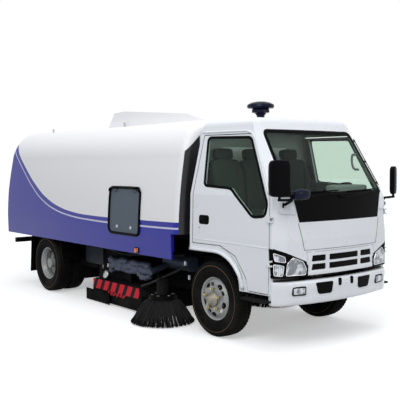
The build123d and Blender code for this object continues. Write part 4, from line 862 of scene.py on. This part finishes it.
# wipers: arms from the cowl and blades on the glass, the grab handle inside and the aerial on the left pillar
def makeWipers():
    arms, blades = Parts(), Parts()
    for pivot, tip in wipers:
        line = [(faceX(y, z) + 0.016, y, z) for y, z in np.linspace(pivot, tip, 14)]
        arms.tube(np.array(line) + vec(0.010, 0, -0.004), 0.0055, 8)
        arms.turned(((0.0001, 0.030), (0.012, 0.028), (0.015, -0.008)), (faceX(*pivot), *pivot), (1, 0, 0.2), 14)
        blade = [(faceX(y, z) + 0.010, y, z) for y, z in np.linspace((tip[0] - 0.42, tip[1] + 0.004),
                                                                     (tip[0] + 0.10, tip[1] + 0.018), 14)]
        blades.tube(blade, 0.007, 6)
    arms.build("wiperArms", trimBlack, "cab")
    blades.build("wiperBlades", trimBlack, "cab")
    aerial = Parts()
    low = (faceX(0.690, 1.46) + 0.012, 0.692, 1.46)
    high = (faceX(0.645, 1.93) + 0.014, 0.648, 1.93)
    aerial.tube(np.linspace(low, high, 8), 0.0045, 8)
    for t in aerialClips:
        point = np.array(low) * (1 - t) + np.array(high) * t
        aerial.block(point - vec(0.010, 0, 0), (0.026, 0.014, 0.02))
    aerial.build("aerial", trimBlack, "cab")
    grab = Parts()
    for side in (1, -1):
        grab.tube(smoothPath([(axleX + x, side * y, z) for x, y, z in grabLine], 5), 0.012, 8)
    grab.build("grabHandles", dashPlastic, "cab")


makeWipers()


# corner vanes at the feet of the pillars, white like the cab
def makeVanes():
    vanes = Parts()
    for side in (1, -1):
        outline = roundedLine(((0.592, 1.225), (0.735, 1.235), (0.742, 1.365), (0.618, 1.372)), 0.018, 0.02)
        patch(vanes, outline, onFace(side), 0.016, 0.010, rim=0.004)
    vanes.build("cornerVanes", paintWhite, "cab")


makeVanes()
print("front and side fittings")


# bumper: a rounded section swept along the front's plan line, its upper half a little proud, its ends drawn in
def makeBumper():
    low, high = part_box("bumper")
    bumperSkin = skin("bumper")
    shape = Parts()
    half = high[1] - 0.004
    middle, tall = (low[2] + high[2]) / 2, (high[2] - low[2]) / 2
    stations = half * np.sin(np.linspace(-math.pi / 2, math.pi / 2, 90))
    fronts = []
    for y in stations:
        point = hit(bumperSkin, (6, np.clip(y, -half + 0.01, half - 0.01), low[2] + 0.03), (-1, 0, 0))
        fronts.append(bumperX(y) if point is None else point[0])
    fronts = np.array(fronts)
    angle = circle(48)
    rows = []
    for y, front in zip(stations, fronts):
        near = min(1.0, (half - abs(y)) / 0.05)
        draw = math.sqrt(max(1e-4, 1 - (1 - near) ** 2))
        deep = 0.040 * (0.25 + 0.75 * draw)
        z = middle + tall * (0.90 + 0.10 * draw) * blunt(np.sin(angle), 0.45)
        proud = 0.007 * np.clip((z - middle) / 0.02, 0, 1)
        x = front - 0.007 - deep + deep * blunt(np.cos(angle), 0.35) + proud - 0.012 * (1 - draw)
        rows.append(np.stack((x, np.full_like(x, y), z), axis=1))
    shape.grid(capped(np.array(rows)), closeColumns=True)
    cover = shape.build("bumperCover", paintWhite, "chassis")
    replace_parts(cover, "bumper")


makeBumper()


# service panel: rubber frame round it and two latches
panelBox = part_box("service_panel")
panelSkin = skin("service_panel", "body_shell")


def trimPanel():
    (x0, _, z0), (x1, _, z1) = panelBox
    frame, latch = Parts(), Parts()
    line = roundedLine(((x0, z0), (x1, z0), (x1, z1 - 0.01), (x0, z1 - 0.01)), 0.075, 0.03)
    path = []
    for x, z in line:
        point = hit(panelSkin, (x, -2, z), (0, 1, 0), 0.004)
        path.append(point if point is not None and point[1] < -0.85 else (x, -0.944 + 0.02 * max(0.0, z - 1.1), z))
    frame.tube(path, 0.015, 8, closed=True)
    for x in (x0 + 0.17, x1 - 0.17):
        point = hit(panelSkin, (x, -2, z0 + 0.075), (0, 1, 0))
        latch.turned(((0.0001, 0.010), (0.016, 0.009), (0.019, 0.004), (0.019, -0.004)), point, (0, -1, 0), 18)
        latch.block(point - vec(0, 0.011, 0), (0.006, 0.006, 0.026))
    frame.build("panelRubber", trimBlack, "service_panel")
    latch.build("panelLatches", silverMetal, "service_panel")


trimPanel()


# disc brooms: dense bent bristles, each a thin three-sided strand from the disc out to the road
bristleBlack = surface("bristle", (0.030, 0.030, 0.033), 0.7, dust=0.10, top=0.35, spread=0.1, **dull)
broom = {"strands": 1500, "root": (0.095, 0.145), "reach": (0.275, 0.336), "lean": 0.05, "foot": (0.006, 0.016),
         "top": 0.258, "thick": 0.0022, "bolts": 6, "boltCircle": 0.11, "boltTop": 0.297}


def growBristles():
    random = np.random.default_rng(5)
    for sideName, side in wheelSides.items():
        low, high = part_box("broom_" + sideName)
        middle = vec((low[0] + high[0]) / 2, (low[1] + high[1]) / 2, 0)
        strands, hub = Parts(), Parts()
        for index in range(broom["strands"]):
            angle = random.uniform(0, 2 * math.pi)
            ring = random.uniform(*broom["root"])
            reach = random.uniform(*broom["reach"])
            lean = random.normal(0, broom["lean"])
            path = []
            for t in np.linspace(0, 1, 5):
                radius = ring + (reach - ring) * t**0.85
                height = broom["top"] - (broom["top"] - random.uniform(*broom["foot"])) * t**1.35
                turn = angle + lean * t
                path.append(middle + vec(radius * math.cos(turn), radius * math.sin(turn), height))
            strands.tube(path, broom["thick"], 3)
        strands.build("bristles_" + sideName, bristleBlack, "broom_" + sideName)
        hub.turned(((0.0001, 0.300), (0.05, 0.299), (0.055, 0.296)), middle, (0, 0, 1), 24)
        for angle in circle(broom["bolts"]):
            spot = vec(broom["boltCircle"] * math.cos(angle), broom["boltCircle"] * math.sin(angle), broom["boltTop"])
            hub.block(middle + spot, (0.02, 0.02, 0.008))
        hub.build("broomBolts_" + sideName, bareSteel, "broom_" + sideName)


growBristles()


# suction nozzle: side plates with slanted red stripes, rubber flaps and a red fringe along the foot
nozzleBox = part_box("suction_nozzle")
nozzle = {"stripe": 0.168, "slant": -0.55, "skid": -2.225, "skidBolts": (-2.45, -2.0), "fringe": (-2.0, -1.62),
          "fringeStep": 0.011}


def stripedColor(net):
    _, x, _, z = net.place()
    slant = net.plus(x, net.times(z, nozzle["slant"]))
    wave = net.math("FRACT", net.math("DIVIDE", slant, nozzle["stripe"]))
    return net.mix(net.ramp(wave, 0.56, 0.60), (0.78, 0.035, 0.055), (0.014, 0.014, 0.015))


stripedPlate = surface("stripedPlate", stripedColor, 0.5, dust=0.10, top=0.4, **dull)


def dressNozzle():
    (x0, y0, z0), (x1, y1, z1) = nozzleBox
    plates, flaps, fringe = Parts(), Parts(), Parts()
    for side in (1, -1):
        plates.block(((x0 + x1) / 2 - 0.01, side * (y1 + 0.012), 0.226), (x1 - x0 - 0.05, 0.006, 0.118), soft=0.01)
        flaps.block(((x0 + x1) / 2, side * (y1 + 0.006), 0.115), (x1 - x0, 0.010, 0.185))
        flaps.block((axleX + nozzle["skid"], side * (y1 + 0.034), 0.082), (0.55, 0.012, 0.138), soft=0.004)
        for x in nozzle["skidBolts"]:
            flaps.block((axleX + x, side * (y1 + 0.020), 0.130), (0.03, 0.03, 0.03))
        for x in np.arange(*(axleX + end for end in nozzle["fringe"]), nozzle["fringeStep"]):
            sway = 0.012 * math.sin(x * 90)
            fringe.block((x, side * (y1 + 0.018 + sway * 0.3), 0.150 + sway),
                         (0.006, 0.005, 0.035 + 0.012 * math.sin(x * 57)))
    for x in (x0 - 0.008, x1 + 0.008):
        flaps.block((x, 0, 0.11), (0.010, 2 * y1, 0.20))
    plates.build("stripedPlates", stripedPlate, "chassis", smooth=False)
    flaps.build("nozzleFlaps", tyreRubber, "chassis", smooth=False)
    fringe.build("redFringe", redPaint, "chassis", smooth=False)


dressNozzle()
print("brooms and nozzle")


# pillow shape: a superquadric of the given half sizes, its power setting how square it is
def pillow(parts, middle, half, power=0.3, turn=None):
    rise = np.linspace(-math.pi / 2, math.pi / 2, 22)[:, None]
    around = circle(44)[None, :]
    flat = np.maximum(np.abs(np.cos(rise)) ** power, 1e-3)
    array = np.stack((flat * blunt(np.cos(around), power), flat * blunt(np.sin(around), power),
                      blunt(np.sin(rise), power) * np.ones_like(around)), axis=2) * np.array(half)
    if turn is not None:
        array = array @ np.array(turn).T
    parts.grid(array + np.array(middle), closeColumns=True)


def seatColor(net):
    _, _, y, _ = net.place()
    weave = net.times(net.math("SINE", net.times(y, 900.0)), 0.5)
    return net.mix(net.ramp(weave, -0.5, 0.5), (0.018, 0.030, 0.026), (0.035, 0.050, 0.044))


seatCloth = surface("seatCloth", seatColor, 0.9, grain=(700.0, 0.5), spread=0.05)
seatRows = ((0.430, 0.460), (-0.112, 0.374), (-0.502, 0.396))
seatLow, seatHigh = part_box("seats")


# seats: a cushion, a leaning back and a headrest to each, with two welted bolsters
def makeSeats():
    lean = 0.130
    turn = ((math.cos(lean), 0, -math.sin(lean)), (0, 1, 0), (math.sin(lean), 0, math.cos(lean)))
    backTop, backLow = seatHigh[2] - 0.165, seatLow[2] + 0.095
    mid, tall = (backTop + backLow) / 2, (backTop - backLow) / 2
    for index, (middle, width) in enumerate(seatRows):
        seat, back, head = Parts(), Parts(), Parts()
        half = width / 2
        pillow(seat, (axleX + 0.100, middle, seatLow[2] + 0.062), (0.232, half, 0.066))
        pillow(back, (axleX - 0.150, middle, mid), (0.066, half - 0.006, tall + 0.01), 0.35, turn)
        for side in (1, -1):
            pillow(seat, (axleX + 0.090, middle + side * (half - 0.055), seatLow[2] + 0.085), (0.215, 0.052, 0.055),
                   0.5)
            pillow(back, (axleX - 0.115, middle + side * (half - 0.050), mid - 0.02), (0.050, 0.044, tall - 0.05),
                   0.5, turn)
        pillow(head, (axleX - 0.200, middle, seatHigh[2] - 0.105), (0.046, 0.112, 0.058), 0.45, turn)
        for name, parts in (("seatCushion", seat), ("seatBack", back), ("headrest", head)):
            cushion = parts.build(f"{name}_{index}", seatCloth, "cab")
            yield cushion


for piece in list(makeSeats()):
    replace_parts(piece, "seats")


# rubber and hose for what hangs under the body
rubberSheet = surface("rubberSheet", (0.006, 0.006, 0.0065), 0.7, dust=0.06, top=0.5, grain=(30.0, 0.5), **dull)


# rubber curtains on each side under the body, which also stand in for the underbody's shade: both ends from the front
# axle, depth, foot, top and swing
curtains = ((-3.02, -2.42, 0.60, 0.36, 0.80, 0.012), (-2.42, -1.66, 0.66, 0.27, 0.80, 0.014),
            (-1.66, -0.62, 0.42, 0.30, 0.60, 0.006))
curtain = {"thick": 0.005, "waves": 9.0}


# a hanging sheet: its depth swings in and out by two sines along its length, more towards the foot
def hangCurtains():
    sheets = Parts()
    for side in (1, -1):
        for x0, x1, y, z0, z1, swing in curtains:
            along = np.linspace(axleX + x0, axleX + x1, max(8, int(abs(axleX + x1 - (axleX + x0)) * 90)))
            wave = along * curtain["waves"]
            rows = []
            for offset, fall in ((0, np.linspace(0, 1, 9)), (-curtain["thick"], np.linspace(1, 0, 9))):
                for t in fall:
                    ripple = swing * t * (np.sin(wave) + 0.5 * np.sin(wave * 2.3 + 1.0))
                    rows.append(np.stack((along, side * (y + ripple + offset), np.full_like(along, z1 + (z0 - z1) * t)),
                                         axis=1))
            sheets.grid(rows + rows[:1])
    # black sheets under the body: partly rubber curtains, partly painted shade filling the underbody
    sheets.build("rubberShadeCurtains", rubberSheet, "chassis")


hangCurtains()


# a rail on both cab sides: a tube along a rounded line of (x, z) points, lifted off the side
def sideRail(name, corners, bend, rear, lift, radius):
    rails = Parts()
    for side in (1, -1):
        rails.tube([(axleX + x, side * (sideY(min(x, rear), z) + lift), z)
                    for x, z in roundedLine(corners, bend, 0.03, closed=False)], radius, 8)
    rails.build(name, paintWhite, "cab")


# white lip round each front wheel arch, running down the cab's side
sideRail("archLips", ((-0.285, 0.846), (0.150, 0.846), (0.310, 0.775), (0.425, 0.640), (0.452, 0.530)),
         0.16, 0.7, 0.012, 0.017)


# wheel centres: dirty hub cone, nuts on a circle, dark hand holes
wheel = {"nuts": 5, "nutCircle": 0.102, "holeCircle": 0.150, "holeHalf": 0.021, "holeSweep": 0.22}
hubMetal = surface("hubMetal", (0.28, 0.26, 0.21), 0.5, metal=0.5, dust=0.6, top=1.2, grain=(160.0, 0.3))


def dressWheels():
    for end in ("front", "rear"):
        for sideName, side in wheelSides.items():
            name = f"rim_{end}_{sideName}"
            low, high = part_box(name)
            middle = vec((low[0] + high[0]) / 2, 0, (low[2] + high[2]) / 2)
            disc = skin(name)
            hub, nuts, holes = Parts(), Parts(), Parts()
            spots = lambda radius, angle: middle + vec(radius * math.cos(angle), side * 2, radius * math.sin(angle))
            face = hit(disc, spots(wheel["nutCircle"], 0.3), (0, -side, 0))
            centre = middle + vec(0, face[1], 0)
            hub.turned(((0.0001, 0.052), (0.030, 0.050), (0.040, 0.040), (0.046, 0.012), (0.066, 0.006),
                        (0.070, -0.004)), centre, (0, side, 0), 30)
            for turn in circle(wheel["nuts"]):
                base = hit(disc, spots(wheel["nutCircle"], turn + math.pi / 10), (0, -side, 0))
                nuts.turned(((0.0001, 0.026), (0.009, 0.026), (0.011, 0.023), (0.011, 0.008), (0.017, 0.007),
                             (0.018, -0.003)), base, (0, side, 0), 6)
            for angle in circle(wheel["nuts"]) + 0.3 * math.pi:
                rows = []
                for t in (0.001, 0.5, 1.0, 1.14):
                    row = []
                    for turn in circle(20):
                        radius = wheel["holeCircle"] + wheel["holeHalf"] * t * math.cos(turn)
                        point = hit(disc, spots(radius, angle + wheel["holeSweep"] * t * math.sin(turn)), (0, -side, 0))
                        row.append(point + vec(0, side * (0.0012 if t <= 1 else -0.006), 0))
                    rows.append(row)
                holes.grid(rows, closeColumns=True)
            body = f"wheel_{end}_{sideName}"
            hub.build("hub_" + body, hubMetal, body)
            nuts.build("nuts_" + body, nutMetal, body, smooth=False)
            holes.build("handHoles_" + body, grilleBlack, body)


dressWheels()


# crumpled hose bundle, dish, fittings and lines in the bay between the wheels on both sides, and black rubber curtains
# across the underbody that also stand in for its shade
foilHose = surface("foilHose", (0.10, 0.11, 0.155), 0.38, metal=0.3, dust=0.1, top=0.6, **dull)
# hoses (height, shift, reach), brackets (x, z), lines with their radius, sheets (x, foot, half width), from the axle
bay = {"hoses": ((0.545, 0.0, 0.040), (0.495, 0.03, 0.046), (0.455, -0.02, 0.036)),
       "brackets": ((-0.62, 0.64), (-0.55, 0.50), (-1.12, 0.33), (-2.30, 0.42), (-2.18, 0.45)),
       "lines": ((0.011, ((-0.64, 0.66, 0.72), (-1.2, 0.69, 0.67), (-1.8, 0.69, 0.63), (-2.35, 0.66, 0.67))),
                 (0.014, ((-0.64, 0.65, 0.60), (-1.1, 0.71, 0.40), (-1.35, 0.73, 0.31)))),
       "sheets": ((-2.86, 0.20, 0.62), (-2.44, 0.30, 0.66), (-0.66, 0.42, 0.46))}


def hangPipes():
    random = np.random.default_rng(11)
    hoses, steel, lines = Parts(), Parts(), Parts()
    for side in (1, -1):
        for level, shift, reach in bay["hoses"]:
            along = np.linspace(axleX - 2.02 + shift, axleX - 1.20 + shift, 60)
            wander = np.interp(along, np.linspace(along[0], along[-1], 9), random.normal(0, 0.014, 9))
            path = np.stack((along, side * (0.722 + wander), level + 1.3 * wander[::-1]), axis=1)
            radius = reach * (1 + 0.22 * np.sin(np.arange(60) * 1.9) + random.normal(0, 0.05, 60))
            hoses.tube(path, radius, 12)
        steel.turned(((0.0001, 0.012), (0.035, 0.010), (0.055, 0.0), (0.052, -0.006)),
                     (axleX - 2.11, side * 0.748, 0.360), (0, side, 0.4), 28)
        for x, z in bay["brackets"]:
            steel.block((axleX + x, side * 0.67, z), (0.030, 0.012, 0.05))
        for radius, path in bay["lines"]:
            lines.tube(smoothPath([(axleX + x, side * y, z) for x, y, z in path], 8), radius, 8)
    hoses.build("foilHoses", foilHose, "chassis")
    steel.build("bayFittings", bareSteel, "chassis")
    lines.build("bayLines", hoseRubber, "chassis")
    # black rubber sheets across the underbody: partly curtains, partly painted shade that makes the space between the
    # wheels read black
    sheets = Parts()
    for x, low, width in bay["sheets"]:
        across = np.linspace(-width, width, 40)
        for offset in (0.0, 0.006):
            rows = [[(axleX + x + offset + 0.012 * math.sin(y * 14), y, z) for y in across]
                    for z in np.linspace(low, 0.79, 8)]
            sheets.grid(rows if offset else rows[::-1])
    sheets.build("crossShadeCurtains", rubberSheet, "chassis")


hangPipes()
print("running gear and bay")


# amber lamps on the skirts, eyes on the roof, red lamps and amber indicators at the tail
sideLampPlace = (-1.123, 0.755)
roofEyeX, roofEyeY = (-2.26, -4.20), 0.36


def hangTailLamps():
    bodySkin = skin("body_shell")
    amber, base, eyes, red, tailAmber = (Parts() for _ in range(5))
    low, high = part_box("underrun_bar")
    level = (low[2] + high[2]) / 2
    for side in (1, -1):
        point = hit(bodySkin, (axleX + sideLampPlace[0], side * 2, sideLampPlace[1]), (0, -side, 0))
        base.block(point + vec(0, side * 0.003, 0), (0.075, 0.010, 0.062))
        amber.block(point + vec(0, side * 0.012, 0), (0.060, 0.014, 0.046), soft=0.006)
        red.block((low[0] - 0.004, side * 0.66, level), (0.024, 0.15, 0.050), soft=0.008)
        tailAmber.block((low[0] - 0.004, side * 0.79, level), (0.024, 0.09, 0.050), soft=0.008)
        for x in roofEyeX:
            point = hit(bodySkin, (axleX + x, side * roofEyeY, 4), (0, 0, -1))
            loop = [point + vec(0.018 * math.cos(t), 0, 0.036 + 0.020 * math.sin(t)) for t in circle(20)]
            eyes.tube(loop, 0.006, 8, closed=True)
            eyes.turned(((0.0001, 0.018), (0.012, 0.018), (0.014, 0.0), (0.014, -0.006)), point, (0, 0, 1), 16)
    base.build("sideLampBases", trimBlack, "hopper")
    amber.build("sideLamps", amberLens, "hopper")
    eyes.build("roofEyes", bareSteel, "hopper")
    red.build("tailLamps", redLens, "chassis")
    tailAmber.build("tailIndicators", amberLens, "chassis")


hangTailLamps()


# bevels: node, width and the least angle that gets one
bevels = (("cab_shell", 0.008, 32), ("underrun_bar", 0.006, 35), ("side_tanks", 0.015, 35),
          ("service_panel", 0.005, 35), ("step_plates", 0.003, 35))
for name, width, angle in bevels:
    soften(nodes[name], width, angle)


# instrument hood and dash crown, a green grey behind the glass
dashTop = surface("dashTop", (0.24, 0.27, 0.255), 0.7, grain=(260.0, 0.3))


def makeDash():
    crown = Parts()
    pillow(crown, (axleX + 0.640, 0.400, 1.420), (0.085, 0.240, 0.048), 0.32)
    pillow(crown, (axleX + 0.640, 0.000, 1.380), (0.080, 0.560, 0.022), 0.25)
    crown.build("dashCrown", dashTop, "cab")


makeDash()


# rain gutter over each door and down the pillar
sideRail("rainGutters", ((-0.240, 1.990), (0.440, 1.986), (0.752, 1.420)), 0.10, 0.60, 0.004, 0.008)


# tail: stiffeners, latches, a grab rail and a blank plate
tail = {"ribs": (-0.42, 0.0, 0.42), "ribFoot": 0.98, "ribTop": 1.90, "latchOut": 0.62, "latchHigh": 0.93,
        "rail": (-0.27, -0.24, 0.24, 0.27), "railHigh": 1.12}


def dressTail():
    tailSkin = skin("tail_door")
    onTail = lambda y, z, lift: hit(tailSkin, (-6, y, z), (1, 0, 0), lift)
    ribs, latches, plate = Parts(), Parts(), Parts()
    for y in tail["ribs"]:
        line = [onTail(y, z, 0.004) for z in np.linspace(tail["ribFoot"], tail["ribTop"], 16)]
        ribs.tube(line, 0.016, 8)
    for y in (-tail["latchOut"], tail["latchOut"]):
        point = onTail(y, tail["latchHigh"], 0.0)
        latches.block(point - vec(0.010, 0, 0), (0.020, 0.060, 0.085), soft=0.006)
        latches.tube([point + vec(-0.024, 0, 0.03), point + vec(-0.030, 0, -0.06)], 0.009, 10)
    rail = [onTail(y, tail["railHigh"], 0.004 if abs(y) > 0.25 else 0.050) for y in tail["rail"]]
    latches.tube(smoothPath(rail, 5), 0.010, 10)
    ribs.build("tailRibs", paintTail, "tail_door")
    latches.build("tailLatches", bareSteel, "tail_door")
    low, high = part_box("underrun_bar")
    plate.block((low[0] - 0.004, 0, (low[2] + high[2]) / 2), (0.006, 0.44, 0.062), soft=0.002)
    plate.build("blankPlate", paintGrey, "chassis")


dressTail()
print("tail")


# mirrors: turned pillow housings with silvered rear faces, their arms, and an oval close-view mirror on the right
doorMirrors = ((-1, 0.985, 0.880, 1.552, (0.036, 0.094, 0.156), -20),
               (1, 0.830, 0.900, 1.505, (0.026, 0.066, 0.142), 26))


def makeMirrors():
    shells, glass, arms, close = Parts(), Parts(), Parts(), Parts()
    for side, x, y, z, half, swing in doorMirrors:
        middle = vec(axleX + x, side * y, z)
        turn = np.array(Matrix.Rotation(math.radians(swing), 3, "Z"))
        pillow(shells, middle, half, 0.34, turn)
        rows = [[turn @ (-half[0] - 0.001, half[1] * 0.84 * t * blunt(math.cos(a), 0.4),
                         half[2] * 0.88 * t * blunt(math.sin(a), 0.4))
                 + middle for a in circle(32)] for t in (0.001, 0.6, 1.0)]
        glass.grid(rows, closeColumns=True)
        low = z - half[2]
        foot = (axleX + 0.846, side * 0.690, low - 0.085)
        arms.tube(((middle[0], middle[1], low + 0.02), (middle[0], middle[1], low - 0.028)), 0.012, 10)
        arms.tube(smoothPath(((middle[0], middle[1] + side * 0.012, low - 0.026), (middle[0], side * 0.80, low - 0.030),
                              (axleX + x + 0.010, side * 0.742, low - 0.034), foot), 6), 0.012, 10)
        arms.block((axleX + 0.850, *foot[1:]), (0.05, 0.07, 0.05), soft=0.012)
    arms.tube(smoothPath(((axleX + 0.985, -0.86, 1.402), (axleX + 0.995, -0.76, 1.402),
                          (axleX + 0.985, -0.66, 1.400)), 6), 0.011, 10)
    arms.tube(((axleX + 0.990, -0.742, 1.362), (axleX + 0.990, -0.742, 1.404)), 0.011, 10)
    pillow(close, (axleX + 1.006, -0.640, 1.410), (0.054, 0.096, 0.052), 0.75)
    shells.build("mirrorShells", trimBlack, "cab")
    glass.build("mirrorGlass", chromePlate, "cab")
    close.build("closeMirror", domeBlack, "cab")
    return arms.build("mirrorArms", trimBlack, "cab")


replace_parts(makeMirrors(), "mirrors")


# bonnet seams: fine dark lines from the garnish down to the grille panel
def drawSeams():
    seams = Parts()
    for side in (1, -1):
        strip(seams, [(side * y, z) for y, z in np.linspace((0.562, 1.150), (0.500, 0.905), 14)], 0.005, onFace(1),
              0.0012)
    strip(seams, [(y, 0.905) for y in np.linspace(-0.500, 0.500, 30)], 0.004, onFace(1), 0.0012)
    seams.build("bonnetSeams", grilleBlack, "cab")


drawSeams()


# 1 for rays that show a thing to the camera: straight, mirrored or through glass
def seenRays(net):
    path = net.add("LightPath")
    return net.most(*(path.outputs[kind] for kind in ("Is Camera Ray", "Is Glossy Ray", "Is Transmission Ray")))


# floor, light and white backdrop
def layFloor():
    floorMesh = bpy.data.meshes.new("floor")
    reach = 60.0
    floorMesh.from_pydata([(-reach, -reach, 0), (reach, -reach, 0), (reach, reach, 0), (-reach, reach, 0)], [],
                          [(0, 1, 2, 3)])
    floor = bpy.data.objects.new("floor", floorMesh)
    scene.collection.objects.link(floor)
    material = bpy.data.materials.new("floorWhite")
    material.use_nodes = True
    net = Net(material.node_tree)
    shader = material.node_tree.nodes["Principled BSDF"]
    seen = seenRays(net)
    net.put(shader.inputs["Base Color"], net.mix(seen, (0.26, 0.26, 0.26), (0.86, 0.86, 0.86)))
    net.put(shader.inputs["Emission Color"], (1, 1, 1))
    _, x, y, _ = net.place()
    far = net.math("SQRT", net.plus(net.times(x, x), net.times(y, y)))
    net.put(shader.inputs["Emission Strength"], net.times(seen, net.ramp(far, 2.5, 9.0, 0.40, 0.58)))
    shader.inputs["Roughness"].default_value = 0.95
    floorMesh.materials.append(material)
    world = bpy.data.worlds.new("studio")
    scene.world = world
    world.use_nodes = True
    net = Net(world.node_tree)
    net.nodes.clear()
    soft = net.add("Background", {"Color": (0.90, 0.95, 1.0), "Strength": 0.50}).outputs[0]
    white = net.add("Background", {"Color": (1, 1, 1)}).outputs[0]
    net.add("OutputWorld", {0: net.add("MixShader", {0: seenRays(net), 1: soft, 2: white}).outputs[0]})


def hangLamp(name, place, target, size, power):
    light = bpy.data.lights.new(name, "AREA")
    light.shape = "RECTANGLE"
    light.size, light.size_y = size
    light.energy = power
    lamp = bpy.data.objects.new(name, light)
    lamp.location = place
    lamp.rotation_euler = (Vector(target) - Vector(place)).to_track_quat("-Z", "Y").to_euler()
    scene.collection.objects.link(lamp)


layFloor()
hangLamp("keyLight", (6, -8, 8), (0, 0, 1), (6, 5), 520)
hangLamp("topLight", (0, 0, 9), (0, 0, 0), (10, 6), 280)
hangLamp("frontLight", (11, 2, 4), (2, 0, 1.2), (5, 4), 180)
